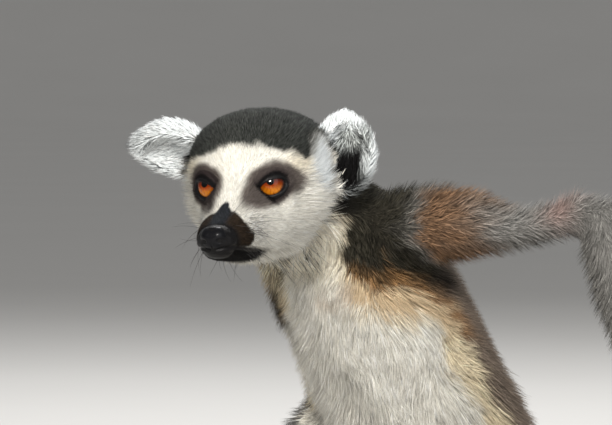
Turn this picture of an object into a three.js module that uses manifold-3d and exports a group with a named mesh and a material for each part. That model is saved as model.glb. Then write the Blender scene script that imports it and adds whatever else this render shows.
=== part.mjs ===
// Life-size ring-tailed lemur, sitting on its rump with its knees out and its left arm spread.
// Millimetres, +Z up. The trunk faces -Y, so the animal's left is +X. The origin is the middle
// of the flat that it sits on. All sizes are out to the tips of the coat.

import * as THREE from "three";
import { mergeVertices } from "three/addons/utils/BufferGeometryUtils.js";
import Module from "manifold-3d";

const wasm = await Module();
wasm.setup();

// ---- Driving dimensions -------------------------------------------------------------------

const GAP = 0.4; // clearance that neighbouring solids keep
const FLOOR_BITE = 1.5; // how far round undersides are cut flat at the floor
const LEFT = 1;
const RIGHT = -1;

const UPPER_ARM = 88;
const FOREARM = 90;
const THIGH = 135;
const SHANK = 125;
const FOOT = 72; // heel to the ball of the foot
const HAND = 27; // wrist to the knuckles
const TAIL = 585;

const SEAT_BACK = 7.7; // the flat's middle lies this far behind the hips' line of reference
const HIP = { out: 26, y: 5, z: 45 };
const SHOULDERS = {
  [LEFT]: new THREE.Vector3(30, -70, 191),
  [RIGHT]: new THREE.Vector3(-36, -69, 183),
};

// The head's own frame starts midway between the eyes. It is turned to the left and tipped down.
const EYES_MIDDLE = new THREE.Vector3(14, -158, 210);
const HEAD_TURN = 25.5;
const HEAD_TIP = 8.5;
const HEAD_ROLL = 2.5; // its right side is the lower one

const EYE = { radius: 8.1, out: 12.4, forward: -6.9, up: -0.1 };
const EYE_SPLAY = 25; // how far each eye looks out from straight ahead, in degrees
const SOCKET = { ahead: 10.5, half: new THREE.Vector3(6.5, 10, 8.5) }; // the hollow before an eye

// Azimuth is measured from straight ahead towards the animal's left, elevation from level.
const POSE = {
  [LEFT]: {
    upperArm: [117, 5],
    forearm: [96, -70],
    hand: [60, -16],
    fingerCurl: 62,
    thigh: [69, 17.5],
    shank: [-24, -33],
    foot: 12,
  },
  [RIGHT]: {
    upperArm: [-158, -60],
    forearm: [-15, -53.5],
    hand: [-4, -46],
    fingerCurl: -40,
    thigh: [-60, 9],
    shank: [24.5, -21],
    foot: -14,
  },
};

// ---- Helpers ------------------------------------------------------------------------------

const vec = (x, y, z) => new THREE.Vector3(x, y, z);
const rad = THREE.MathUtils.degToRad;

/** Unit vector at an azimuth and an elevation, in degrees. */
function heading(azimuth, elevation) {
  const level = Math.cos(rad(elevation));
  const forward = -Math.cos(rad(azimuth)) * level;
  return vec(Math.sin(rad(azimuth)) * level, forward, Math.sin(rad(elevation)));
}

/** The point a length away from another, at an azimuth and an elevation. */
const reach = (from, length, [azimuth, elevation]) =>
  heading(azimuth, elevation).multiplyScalar(length).add(from);

const between = (a, b, share) => a.clone().lerp(b, share);

/** A closed geometry as a solid, with its faces turned outwards. */
function solid(geometry) {
  const bare = geometry.clone();
  bare.deleteAttribute("normal");
  bare.deleteAttribute("uv");
  const merged = mergeVertices(bare, 1e-3);
  const triVerts = new Uint32Array(merged.index.array);
  const vertProperties = new Float32Array(merged.attributes.position.array);
  const made = new wasm.Manifold(new wasm.Mesh({ numProp: 3, vertProperties, triVerts }));
  if (made.volume() > 0) return made;
  for (let i = 0; i < triVerts.length; i += 3) {
    [triVerts[i + 1], triVerts[i + 2]] = [triVerts[i + 2], triVerts[i + 1]];
  }
  return new wasm.Manifold(new wasm.Mesh({ numProp: 3, vertProperties, triVerts }));
}

/** Skins a list of rings, each a list of as many points, and closes both ends to a point. */
function skin(rings, firstPole, lastPole) {
  const sides = rings[0].length;
  const points = [firstPole, ...rings.flat(), lastPole];
  const last = points.length - 1;
  const at = (ring, side) => 1 + ring * sides + (side % sides);
  const faces = [];
  for (let side = 0; side < sides; side += 1) {
    faces.push(0, at(0, side + 1), at(0, side));
    faces.push(last, at(rings.length - 1, side), at(rings.length - 1, side + 1));
    for (let ring = 0; ring + 1 < rings.length; ring += 1) {
      faces.push(at(ring, side), at(ring, side + 1), at(ring + 1, side + 1));
      faces.push(at(ring, side), at(ring + 1, side + 1), at(ring + 1, side));
    }
  }
  const geometry = new THREE.BufferGeometry().setFromPoints(points);
  geometry.setIndex(faces);
  return solid(geometry);
}

/**
 * A round-ended tube on a smooth line. Stations are [point, half width, half depth]; the depth
 * lies nearest to the up direction. Swell thickens it all round, as a cutter for its neighbours.
 */
function tube(stations, options) {
  const { sides = 12, rings = 12, up = vec(0, 0, 1), caps = [0.8, 0.8], capSteps = 3 } = options;
  const swell = options.swell ?? 0;
  const line = new THREE.CatmullRomCurve3(stations.map(([point]) => point), false, "centripetal");
  const girths = stations.map(([, width, depth = width]) => vec(width + swell, depth + swell, 0));
  const girth = new THREE.CatmullRomCurve3(girths, false, "centripetal");
  const made = [];
  const addRing = (share, offset, shrink) => {
    const along = line.getTangent(share);
    const side = along.clone().cross(up).normalize();
    const lift = side.clone().cross(along);
    const { x: width, y: depth } = girth.getPoint(share);
    const middle = line.getPoint(share).addScaledVector(along, offset);
    made.push(
      Array.from({ length: sides }, (_, i) => {
        const turn = (2 * Math.PI * i) / sides;
        return middle
          .clone()
          .addScaledVector(side, Math.cos(turn) * width * shrink)
          .addScaledVector(lift, Math.sin(turn) * depth * shrink);
      }),
    );
  };
  const capLength = caps.map((cap, end) => {
    const { x: width, y: depth } = girth.getPoint(end);
    return cap * Math.min(width, depth);
  });
  for (let step = 1; step < capSteps; step += 1) {
    const turn = (Math.PI / 2) * (step / capSteps);
    addRing(0, -capLength[0] * Math.cos(turn), Math.sin(turn));
  }
  for (let ring = 0; ring <= rings; ring += 1) addRing(ring / rings, 0, 1);
  for (let step = capSteps - 1; step > 0; step -= 1) {
    const turn = (Math.PI / 2) * (step / capSteps);
    addRing(1, capLength[1] * Math.cos(turn), Math.sin(turn));
  }
  const poles = [0, 1].map((end) =>
    line.getPoint(end).addScaledVector(line.getTangent(end), (end ? 1 : -1) * capLength[end]),
  );
  return skin(made, ...poles);
}

/** An ellipsoid with the three half sizes along the axes of a frame. */
function ellipsoid(frame, middle, half, swell = 0, detail = 14) {
  const ball = new THREE.SphereGeometry(1, detail, Math.round(detail * 0.7));
  ball.scale(half.x + swell, half.y + swell, half.z + swell);
  ball.translate(middle.x, middle.y, middle.z);
  return solid(ball.applyMatrix4(frame));
}

/** Keeps what lies ahead of a plane, half a gap clear of it. */
const keepAhead = (piece, point, normal) => {
  const n = normal.clone().normalize();
  return piece.trimByPlane([n.x, n.y, n.z], n.dot(point) + GAP / 2);
};

const keepBehind = (piece, point, normal) => keepAhead(piece, point, normal.clone().negate());

/** Cuts a limb at its joints into the named lengths between them. */
function partAt(whole, names, cuts) {
  return names.map((name, i) => {
    let piece = whole;
    if (i > 0) piece = keepAhead(piece, ...cuts[i - 1]);
    if (i < cuts.length) piece = keepBehind(piece, ...cuts[i]);
    return [name, piece];
  });
}

/** The largest body of a cut solid, without crumbs. */
const largest = (piece) =>
  piece.decompose().reduce((best, body) => (body.volume() > best.volume() ? body : best));

const onFloor = (piece) => piece.trimByPlane([0, 0, 1], 0);

/** Plane at a joint that halves the bend between two bones, as [point, normal]. */
function jointPlane(before, joint, after) {
  const inwards = joint.clone().sub(before).normalize();
  const outwards = after.clone().sub(joint).normalize();
  return [joint, inwards.add(outwards)];
}

const sideName = (side) => (side === LEFT ? "left" : "right");

// ---- Trunk and neck -----------------------------------------------------------------------

/** The trunk from rump to shoulders: a line up the middle with a half width and a half depth. */
function trunk(swell = 0) {
  return tube(
    [
      [vec(0, 12, 21), 41, 36],
      [vec(0, 8, 44), 52, 44],
      [vec(0, -6, 78), 50, 45],
      [vec(0, -28, 116), 46, 43],
      [vec(0, -52, 155), 42, 42],
      [vec(0, -76, 186), 35, 35],
      [vec(0, -86, 197), 27, 28],
    ],
    { sides: 16, rings: 12, up: vec(0, 1, 0), caps: [0.66, 0.5], swell },
  );
}

function neck(swell = 0) {
  return tube(
    [
      [vec(0, -66, 188), 27, 27],
      [vec(-2, -90, 197), 28, 28],
      [vec(-3, -108, 202), 27, 28],
      [vec(-2, -128, 205), 24, 26],
    ],
    { sides: 14, rings: 5, capSteps: 2, swell },
  );
}

// ---- Head, in its own frame: x forward from between the eyes, y to the left, z up ----------

const headFrame = new THREE.Matrix4()
  .makeTranslation(EYES_MIDDLE.x, EYES_MIDDLE.y, EYES_MIDDLE.z)
  .multiply(new THREE.Matrix4().makeRotationZ(rad(HEAD_TURN - 90)))
  .multiply(new THREE.Matrix4().makeRotationY(rad(HEAD_TIP)))
  .multiply(new THREE.Matrix4().makeRotationX(rad(HEAD_ROLL)));

// Stations along the head: [forward, half width, top, height of the widest place, bottom].
const HEAD_STATIONS = [
  [-64, 12, 10, 1, -8],
  [-58, 22, 18.5, 1, -18],
  [-48, 29.5, 25.5, 0, -26],
  [-36, 33, 28.8, -3, -31],
  [-24, 33.5, 29, -6, -33],
  [-14, 30.5, 25.5, -7, -33],
  [-6, 26.5, 19.5, -7, -32.5],
  [1, 21.5, 12.5, -9, -31.5],
  [8, 16.5, 5, -12, -30.5],
  [15, 13, -1.5, -15.5, -28.5],
  [23, 11, -6, -16.5, -27],
  [31, 9.8, -8.5, -17, -25.5],
  [37, 8.2, -10.2, -16.5, -23.5],
  [40.5, 5, -13, -17, -21.5],
];

function headShape(swell = 0) {
  const SIDES = 22;
  const BOXINESS = 2.25; // exponent of the section's curve: 2 is an ellipse
  const power = (value) => Math.sign(value) * Math.abs(value) ** (2 / BOXINESS);
  const rings = HEAD_STATIONS.map(([forward, width, top, widest, bottom]) =>
    Array.from({ length: SIDES }, (_, i) => {
      const turn = (2 * Math.PI * i) / SIDES;
      const rise = Math.sin(turn) > 0 ? top - widest : widest - bottom;
      const aside = power(Math.cos(turn)) * (width + swell);
      return vec(forward, aside, widest + power(Math.sin(turn)) * (rise + swell));
    }).map((point) => point.applyMatrix4(headFrame)),
  );
  const pole = (forward, up) => vec(forward, 0, up).applyMatrix4(headFrame);
  return skin(rings, pole(-66.5 - swell, 3), pole(41.5 + swell, -17));
}

const eyeMiddle = (side) => vec(EYE.forward, side * EYE.out, EYE.up);

function eye(side, swell = 0) {
  const half = vec(EYE.radius, EYE.radius, EYE.radius);
  return ellipsoid(headFrame, eyeMiddle(side), half, swell, 12);
}

/** The hollow between brow, nose and cheek that an eye looks out of. */
function socket(side) {
  const turned = headFrame.clone().multiply(
    new THREE.Matrix4().makeRotationZ(rad(side * EYE_SPLAY)).setPosition(eyeMiddle(side)),
  );
  return ellipsoid(turned, vec(SOCKET.ahead, 0, 1), SOCKET.half, 0, 10);
}

/** The bare pad at the tip of the muzzle. */
function nosePad(swell = 0) {
  return ellipsoid(headFrame, vec(37.6, 0, -14.4), vec(4.6, 6.4, 5.6), swell, 12);
}

// Each ear stands on the head at a middle, with its tip along one direction and its hollow
// along another, both in the head's frame.
const EARS = {
  [LEFT]: { middle: vec(-43, 33, 0), tip: vec(-0.2, 0.12, 1), hollow: vec(0.85, 0.5, 0) },
  [RIGHT]: { middle: vec(-44, -37, 10.8), tip: vec(-0.12, -1, 0.1), hollow: vec(0.8, -0.15, -0.5) },
};
const EAR = { length: 19.2, halfWidth: 15.4, depth: 9, wall: 4.2 };

/** A cupped ear: a pointed bowl, hollowed from its open side. */
function ear(side) {
  const { middle, tip, hollow } = EARS[side];
  const upwards = tip.clone().normalize();
  const across = hollow.clone().cross(upwards).normalize();
  const open = upwards.clone().cross(across).normalize();
  const frame = headFrame.clone().multiply(
    new THREE.Matrix4().makeBasis(open, across, upwards).setPosition(middle),
  );
  const bowl = (depth, width, length, forward) => {
    const ball = new THREE.SphereGeometry(1, 12, 8);
    const place = ball.attributes.position;
    for (let i = 0; i < place.count; i += 1) {
      const height = place.getY(i);
      const taper = 1 - 0.32 * Math.max(0, height) ** 1.5;
      place.setXYZ(
        i,
        place.getX(i) * depth * taper + forward,
        place.getZ(i) * width * taper,
        height * length + 0.35 * length,
      );
    }
    return solid(ball.applyMatrix4(frame));
  };
  const { depth, halfWidth, length, wall } = EAR;
  const outer = bowl(depth, halfWidth, length, 0);
  const inner = bowl(depth * 0.9, halfWidth - wall, length - wall, wall + 1.5);
  return outer.subtract(inner);
}

// ---- Hands and feet -----------------------------------------------------------------------

/**
 * A finger or toe: a thin tube that starts along a direction and bends towards another by the
 * given curl in degrees over its length.
 */
function digit(root, along, towards, length, radius, curl) {
  const STEPS = 4;
  const axis = along.clone().cross(towards).normalize();
  const points = [root.clone()];
  for (let step = 0; step < STEPS; step += 1) {
    const way = along.clone().applyAxisAngle(axis, rad((curl * (step + 0.5)) / STEPS));
    points.push(points.at(-1).clone().addScaledVector(way, length / STEPS));
  }
  const stations = points.map((point, i) => [point, radius * (1 - 0.1 * i / STEPS) + (i === 3 ? 0.4 : 0)]);
  return tube(stations, { sides: 6, rings: 3, up: towards, capSteps: 2 });
}

const FINGERS = [
  // share of the palm's width, turn away from the middle, length
  { across: 0.74, turn: 15, length: 27 },
  { across: 0.27, turn: 5, length: 32 },
  { across: -0.24, turn: -6, length: 34 },
  { across: -0.72, turn: -17, length: 26 },
];

/** A hand past the wrist, its palm facing one way, with four fingers and a thumb. */
function hand(side, wrist, palmWidth = 11) {
  const along = heading(...POSE[side].hand);
  const palm = vec(0, 0, -1);
  palm.addScaledVector(along, -palm.dot(along)).normalize();
  const curl = POSE[side].fingerCurl;
  const inwards = palm.clone().cross(along).multiplyScalar(side);
  const knuckles = wrist.clone().addScaledVector(along, HAND);
  const back = palm.clone().negate();
  let made = tube(
    [
      [wrist.clone().addScaledVector(along, -8), 9.5, 8.5],
      [between(wrist, knuckles, 0.35), palmWidth, 7.5],
      [between(wrist, knuckles, 0.9), palmWidth + 0.5, 6],
    ],
    { sides: 10, rings: 4, up: back, capSteps: 2 },
  );
  for (const { across, turn, length } of FINGERS) {
    const root = knuckles.clone().addScaledVector(inwards, across * palmWidth);
    root.addScaledVector(along, -4);
    const way = along.clone().applyAxisAngle(back, rad(-turn * side));
    made = made.add(digit(root, way, palm, length + 4, 3.7, curl));
  }
  const thumbRoot = between(wrist, knuckles, 0.35).addScaledVector(inwards, palmWidth * 0.6);
  const thumbWay = along.clone().applyAxisAngle(back, rad(-62 * side));
  return onFloor(made.add(digit(thumbRoot, thumbWay, palm, 24, 4, curl * 0.6)));
}

/** A foot flat on the floor, with four toes and a big toe set apart. */
function foot(side, ankle) {
  const along = heading(POSE[side].foot, 0);
  const inwards = along.clone().cross(vec(0, 0, 1)).multiplyScalar(side);
  const place = (forward, inside, height) =>
    vec(ankle.x, ankle.y, height).addScaledVector(along, forward).addScaledVector(inwards, inside);
  const down = vec(0, 0, -1);
  let made = tube(
    [
      [place(-17, 0, 8.5), 8.5, 9.5],
      [place(0, 0, 11), 10.5, 12],
      [place(22, 0, 10), 11.5, 11],
      [place(FOOT - 26, 0, 7.5), 13, 8.5],
    ],
    { sides: 10, rings: 5, capSteps: 2 },
  );
  const TOES = [
    { across: 9, turn: 10, length: 33 },
    { across: 3.2, turn: 2, length: 38 },
    { across: -3, turn: -6, length: 38 },
    { across: -9, turn: -15, length: 31 },
  ];
  for (const { across, turn, length } of TOES) {
    const way = along.clone().applyAxisAngle(down, rad(turn * side));
    made = made.add(digit(place(FOOT - 28, across, 6.5), way, down, length, 4.4, 12));
  }
  const bigToeWay = along.clone().applyAxisAngle(down, rad(58 * side));
  made = made.add(digit(place(20, 6, 6.5), bigToeWay, down, 33, 5.2, 12));
  return onFloor(made.translate([0, 0, -FLOOR_BITE]));
}

// ---- Arms and legs ------------------------------------------------------------------------

function armJoints(side) {
  const shoulder = SHOULDERS[side];
  const elbow = reach(shoulder, UPPER_ARM, POSE[side].upperArm);
  const wrist = reach(elbow, FOREARM, POSE[side].forearm);
  return { shoulder, elbow, wrist };
}

function arm(side) {
  const { shoulder, elbow, wrist } = armJoints(side);
  const inside = between(shoulder, elbow, -0.12);
  return tube(
    [
      [inside, 19],
      [shoulder, 20.5],
      [between(shoulder, elbow, 0.3), 19],
      [between(shoulder, elbow, 0.58).add(vec(0, 0, -4)), 11.5],
      [between(shoulder, elbow, 0.78).add(vec(0, 0, -2)), 10.5],
      [elbow, 13],
      [between(elbow, wrist, 0.28), 14],
      [between(elbow, wrist, 0.7), 11],
      [wrist, 9],
    ],
    { sides: 10, rings: 14, up: vec(0.2, -1, 0.35), capSteps: 2 },
  );
}

function legJoints(side) {
  const hip = vec(side * HIP.out, HIP.y, HIP.z);
  const knee = reach(hip, THIGH, POSE[side].thigh);
  const ankle = reach(knee, SHANK, POSE[side].shank);
  return { hip, knee, ankle };
}

function leg(side, swell = 0) {
  const { hip, knee, ankle } = legJoints(side);
  return tube(
    [
      [hip, 33, 32],
      [between(hip, knee, 0.35), 31, 34],
      [between(hip, knee, 0.75), 23, 26],
      [knee, 18, 18],
      [between(knee, ankle, 0.3), 17, 18.5],
      [between(knee, ankle, 0.7), 12, 12.5],
      [ankle, 10.5, 10.5],
    ],
    { sides: 12, rings: 12, up: vec(0, -0.3, 1), capSteps: 2, swell },
  );
}

// ---- Tail ---------------------------------------------------------------------------------

/** The tail's line: out of the rump, down to the floor and on in a lazy S. */
function tailLine() {
  const STEPS = 22;
  const SWING = 62; // how far the tail turns from straight back, in degrees
  const stations = [];
  const place = vec(0, 22, 40);
  for (let step = 0; step <= STEPS; step += 1) {
    const share = step / STEPS;
    const radius = tailRadius(share);
    const settled = THREE.MathUtils.smoothstep(share, 0, 0.16);
    const height = THREE.MathUtils.lerp(40, radius - FLOOR_BITE, settled);
    stations.push([vec(place.x, place.y, height), radius]);
    const turn = rad(SWING * Math.sin(Math.PI * (1.6 * share - 0.05)));
    place.x -= (Math.sin(turn) * TAIL) / STEPS;
    place.y += (Math.cos(turn) * TAIL) / STEPS;
  }
  return stations;
}

/** Thin at the root, bushy for most of its length, and round at the tip. */
function tailRadius(share) {
  const root = THREE.MathUtils.smoothstep(share, 0, 0.3);
  const tip = 1 - THREE.MathUtils.smoothstep(share, 0.8, 1.05);
  return 16 + 7 * root - 10 * (1 - tip);
}

// ---- The whole animal ---------------------------------------------------------------------

const COLOURS = {
  grey: 0x6d6a68,
  brown: 0x8d7566,
  white: 0xe9e5da,
  ear: 0xdfe2df,
  amber: 0xd9680f,
  black: 0x17161a,
};

const animal = new THREE.Group();
animal.position.y = -SEAT_BACK;

function add(name, piece, colour, roughness = 0.95) {
  const mesh = largest(piece).getMesh();
  const geometry = new THREE.BufferGeometry();
  geometry.setAttribute("position", new THREE.BufferAttribute(mesh.vertProperties.slice(), 3));
  geometry.setIndex(new THREE.BufferAttribute(mesh.triVerts.slice(), 1));
  geometry.computeVertexNormals();
  const material = new THREE.MeshStandardMaterial({ color: colour, roughness, metalness: 0 });
  const made = new THREE.Mesh(geometry, material);
  made.name = name;
  animal.add(made);
}

const trunkCutter = trunk(GAP);
const neckCutter = neck(GAP);
const legCutters = { [LEFT]: leg(LEFT, GAP), [RIGHT]: leg(RIGHT, GAP) };
const headWhole = headShape();
const headCutter = headShape(GAP * 1.4);

add("trunk", onFloor(trunk().subtract(headCutter)), COLOURS.brown);
add("neck", neck().subtract(trunkCutter).subtract(headCutter), COLOURS.grey);

let headSolid = headWhole.subtract(nosePad(GAP));
for (const side of [LEFT, RIGHT]) {
  headSolid = headSolid.subtract(socket(side)).subtract(eye(side, GAP));
  add(`ear_${sideName(side)}`, ear(side).subtract(headCutter).subtract(neckCutter), COLOURS.ear);
  add(`eye_${sideName(side)}`, eye(side), COLOURS.amber, 0.15);
}
add("head", headSolid, COLOURS.white);
add("nose", nosePad(), COLOURS.black, 0.35);

for (const side of [LEFT, RIGHT]) {
  const { shoulder, elbow, wrist } = armJoints(side);
  const { hip, knee, ankle } = legJoints(side);
  const name = sideName(side);

  const wristCut = [wrist, wrist.clone().sub(elbow)];
  const armWhole = arm(side).subtract(trunkCutter).subtract(neckCutter).subtract(legCutters[side]);
  const armCuts = [jointPlane(shoulder, elbow, wrist), wristCut];
  const armNames = [`upper_arm_${name}`, `forearm_${name}`];
  for (const [part, piece] of partAt(keepBehind(armWhole, ...wristCut), armNames, armCuts.slice(0, 1))) {
    add(part, piece, COLOURS.grey);
  }
  const handWhole = keepAhead(hand(side, wrist), ...wristCut).subtract(legCutters[side]);
  add(`hand_${name}`, handWhole, COLOURS.grey);

  const footWhole = foot(side, ankle);
  const legWhole = onFloor(leg(side).subtract(trunkCutter));
  const ankleCut = [vec(ankle.x, ankle.y, ankle.z - 2), knee.clone().sub(ankle).negate()];
  const legNames = [`thigh_${name}`, `shank_${name}`];
  for (const [part, piece] of partAt(keepBehind(legWhole, ...ankleCut), legNames, [jointPlane(hip, knee, ankle)])) {
    add(part, piece, COLOURS.grey);
  }
  add(`foot_${name}`, keepAhead(footWhole.add(leg(side)), ...ankleCut), COLOURS.grey);
}

const tailStations = tailLine();
const tailWhole = onFloor(
  tube(tailStations, { sides: 10, rings: 32, caps: [0.6, 0.9] }).subtract(trunkCutter),
);
const tailCuts = [6, 11, 16].map((i) => {
  const [point] = tailStations[i];
  return [point, tailStations[i + 1][0].clone().sub(tailStations[i - 1][0])];
});
const tailNames = ["tail_1", "tail_2", "tail_3", "tail_4"];
for (const [part, piece] of partAt(tailWhole, tailNames, tailCuts)) add(part, piece, COLOURS.white);

export default animal;
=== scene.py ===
"""A life-size ring-tailed lemur for a museum stand: one skin over the solids, with its coat."""

import sys
import logging
import math
from dataclasses import dataclass, field, replace
from enum import Enum
from typing import Callable

import bmesh
import bpy
import numpy as np
from mathutils import Matrix, Vector
from mathutils.kdtree import KDTree


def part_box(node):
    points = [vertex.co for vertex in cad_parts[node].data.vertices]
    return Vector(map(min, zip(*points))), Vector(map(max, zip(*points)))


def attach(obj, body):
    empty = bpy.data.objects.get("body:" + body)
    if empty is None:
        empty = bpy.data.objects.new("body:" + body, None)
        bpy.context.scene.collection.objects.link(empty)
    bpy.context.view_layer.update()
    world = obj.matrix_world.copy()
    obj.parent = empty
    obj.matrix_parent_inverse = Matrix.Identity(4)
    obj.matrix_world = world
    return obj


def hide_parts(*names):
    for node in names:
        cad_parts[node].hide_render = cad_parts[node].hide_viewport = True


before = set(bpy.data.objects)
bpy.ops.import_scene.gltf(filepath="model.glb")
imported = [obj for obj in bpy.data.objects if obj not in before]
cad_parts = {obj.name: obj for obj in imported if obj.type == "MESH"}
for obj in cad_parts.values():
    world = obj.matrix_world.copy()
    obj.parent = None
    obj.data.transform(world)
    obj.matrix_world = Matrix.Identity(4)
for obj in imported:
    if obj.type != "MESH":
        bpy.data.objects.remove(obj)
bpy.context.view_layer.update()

log = logging.getLogger("lemur")

MM = 0.001
Array = np.ndarray
# Puts three corner numbers, each under 100,000, into one number to sort by.
KEY_WEIGHTS = (1e10, 1e5, 1.0)


# ---- Anatomy ----


def unit(rows: Array) -> Array:
    """Vectors, one to a row, at length one."""
    return rows / np.maximum(np.linalg.norm(rows, axis=-1, keepdims=True), 1e-12)


def smoothstep(low: float, high: float, value: Array) -> Array:
    """Zero below low, one above high, and a smooth rise between."""
    t = np.clip((value - low) / (high - low), 0.0, 1.0)
    return t * t * (3.0 - 2.0 * t)


def bump(centre: float, reach: float, value: Array) -> Array:
    """One at the centre, falling smoothly to zero at the reach on either side."""
    return 1.0 - smoothstep(0.0, reach, np.abs(value - centre))


@dataclass(frozen=True)
class HeadFrame:
    """The head's own axes: x forward from between the eyes, y to its left, z up, in millimetres.

    Attributes:
        middle: The point midway between the eyes, in metres.
        turn: How far the head is turned to its left of the trunk's front, in degrees.
        tip: How far the muzzle is tipped down.
        roll: How far the right side is the lower one.
    """

    middle: tuple[float, float, float] = (0.014, -0.1657, 0.210)
    turn: float = 25.5
    tip: float = 8.5
    roll: float = 2.5

    @property
    def axes(self) -> Array:
        """The head's three axes as the columns of a rotation."""
        turned = Matrix.Rotation(math.radians(self.turn - 90.0), 3, "Z")
        tipped = Matrix.Rotation(math.radians(self.tip), 3, "Y")
        rolled = Matrix.Rotation(math.radians(self.roll), 3, "X")
        return np.array(turned @ tipped @ rolled)

    def inward(self, world: Array) -> Array:
        """Points in metres, told in the head's own millimetres."""
        return (world - np.array(self.middle)) @ self.axes / MM

    def outward(self, local: Array) -> Array:
        """Points in the head's own millimetres, told in metres."""
        return np.asarray(local, float) * MM @ self.axes.T + np.array(self.middle)

    def heading(self, local: Array) -> Array:
        """Directions in the head's axes, told in the world's."""
        return unit(np.asarray(local, float) @ self.axes.T)


HEAD = HeadFrame()


class Side(Enum):
    """A side of the animal, with the sign of its sideways coordinate."""

    LEFT = 1
    RIGHT = -1

    @property
    def word(self) -> str:
        """The side's name as the nodes spell it."""
        return self.name.lower()


@dataclass(frozen=True)
class EyeBuild:
    """Where the eyeballs lie in the head and how the lids open, in millimetres and degrees."""

    radius: float = 8.1
    out: float = 12.4
    forward: float = -6.9
    up: float = -0.1
    splay: float = 25.0
    half_width: float = 6.3
    rise_above: float = 3.1
    fall_below: float = 3.1
    slant: float = 0.2
    look_splay: float = 18.0
    look_up: float = 19.0

    def middle(self, side: Side) -> Array:
        """The eyeball's middle in the head's frame."""
        return np.array([self.forward, side.value * self.out, self.up])

    def facing(self, side: Side) -> Array:
        """The way the lids open, in the head's frame."""
        splay = math.radians(self.splay)
        return np.array([math.cos(splay), side.value * math.sin(splay), 0.0])

    def gaze(self, side: Side) -> Array:
        """The way the eye looks, in the head's frame."""
        splay, up = math.radians(self.look_splay), math.radians(self.look_up)
        level = math.cos(up)
        return np.array([level * math.cos(splay), side.value * level * math.sin(splay), math.sin(up)])


EYES = EyeBuild()


class Part(Enum):
    """The parts of the body that differ in coat, with the nodes that each is made of."""

    HEAD = ("head", "nose", "eye_left", "eye_right")
    EAR = ("ear_left", "ear_right")
    NECK = ("neck",)
    TRUNK = ("trunk",)
    UPPER_ARM = ("upper_arm_left", "upper_arm_right")
    FOREARM = ("forearm_left", "forearm_right")
    HAND = ("hand_left", "hand_right")
    THIGH = ("thigh_left", "thigh_right")
    SHANK = ("shank_left", "shank_right")
    FOOT = ("foot_left", "foot_right")
    TAIL = ("tail_1", "tail_2", "tail_3", "tail_4")


PARTS = list(Part)
NODES = [node for part in PARTS for node in part.value]
FLESH = [node for node in NODES if not node.startswith(("eye", "nose"))]


def part_number(*parts: Part) -> list[int]:
    """The places of some parts in the list of parts."""
    return [PARTS.index(part) for part in parts]


# ---- The hide: the skin as arrays ----


@dataclass
class Hide:
    """The skin's surface as arrays, for the work that a mesh is too slow for.

    Attributes:
        points: Vertices, in metres.
        normals: Their outward normals.
        edges: Pairs of vertices.
        triangles: Triples of vertices.
        node: The number in NODES of the solid that each vertex came from.
    """

    points: Array
    normals: Array
    edges: Array
    triangles: Array
    node: Array

    @classmethod
    def of_mesh(cls, mesh: bpy.types.Mesh, nodes: "NodeFinder") -> "Hide":
        """Reads a mesh.

        Args:
            mesh: The mesh to read.
            nodes: Tells which solid each vertex came from.

        Returns:
            The hide.
        """
        mesh.calc_loop_triangles()
        points = read(mesh.vertices, "co", 3)
        return cls(
            points=points,
            normals=read(mesh.vertex_normals, "vector", 3),
            edges=read(mesh.edges, "vertices", 2, int),
            triangles=read(mesh.loop_triangles, "vertices", 3, int),
            node=nodes.nearest(points),
        )

    @property
    def part(self) -> Array:
        """The number in PARTS of each vertex's part of the body."""
        home = np.array([next(i for i, p in enumerate(PARTS) if n in p.value) for n in NODES])
        return home[self.node]

    def on(self, *parts: Part) -> Array:
        """One on the vertices of some parts, and zero elsewhere."""
        return np.isin(self.part, part_number(*parts)).astype(float)

    def average(self, values: Array) -> Array:
        """Each vertex's mean of its neighbours' values.

        Args:
            values: One row or number to a vertex.

        Returns:
            The means, one row to a vertex.
        """
        values = values.reshape(len(values), -1)
        count = len(self.points)
        first, second = self.edges.T
        degree = np.bincount(self.edges.ravel(), minlength=count)
        total = np.stack(
            [
                np.bincount(first, column[second], count)
                + np.bincount(second, column[first], count)
                for column in values.T
            ],
            axis=1,
        )
        return total / np.maximum(degree, 1)[:, None]

    def spread(self, values: Array, rounds: int) -> Array:
        """Values blurred over the surface."""
        shape = values.shape
        values = values.reshape(len(values), -1)
        for _ in range(rounds):
            values = 0.5 * values + 0.5 * self.average(values)
        return values.reshape(shape)

    def smooth(self, strength: Array, rounds: int) -> None:
        """Eases the surface without shrinking it, more where the strength is near one."""
        for _ in range(rounds):
            for step in (0.55, -0.57):
                pull = self.average(self.points) - self.points
                self.points = self.points + step * strength[:, None] * pull


def read(items: bpy.types.bpy_prop_collection, name: str, width: int, kind: type = float) -> Array:
    """One property of many mesh elements as rows.

    Args:
        items: The mesh's vertices, edges, triangles and so on.
        name: The property to read.
        width: How many numbers each element has.
        kind: float or int.

    Returns:
        An array with one row to each element.
    """
    flat = np.empty(len(items) * width, np.float32 if kind is float else np.int32)
    items.foreach_get(name, flat)
    return flat.reshape(-1, width).astype(np.float64 if kind is float else np.int64)


class NodeFinder:
    """Tells which solid a point of the skin belongs to."""

    SAMPLES = 2500

    def __init__(self, rng: np.random.Generator) -> None:
        """Scatters samples over every solid.

        Args:
            rng: Source of randomness.
        """
        self.tree = KDTree(self.SAMPLES * len(NODES))
        self.owner: list[int] = []
        for number, name in enumerate(NODES):
            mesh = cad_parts[name].data
            mesh.calc_loop_triangles()
            corners = read(mesh.vertices, "co", 3)[read(mesh.loop_triangles, "vertices", 3, int)]
            for place in scatter(corners, triangle_areas(corners), self.SAMPLES, rng)[0]:
                self.tree.insert(place, len(self.owner))
                self.owner.append(number)
        self.tree.balance()

    def nearest(self, points: Array) -> Array:
        """The number of the nearest solid to each point."""
        return np.array([self.owner[self.tree.find(point)[1]] for point in points])


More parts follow.
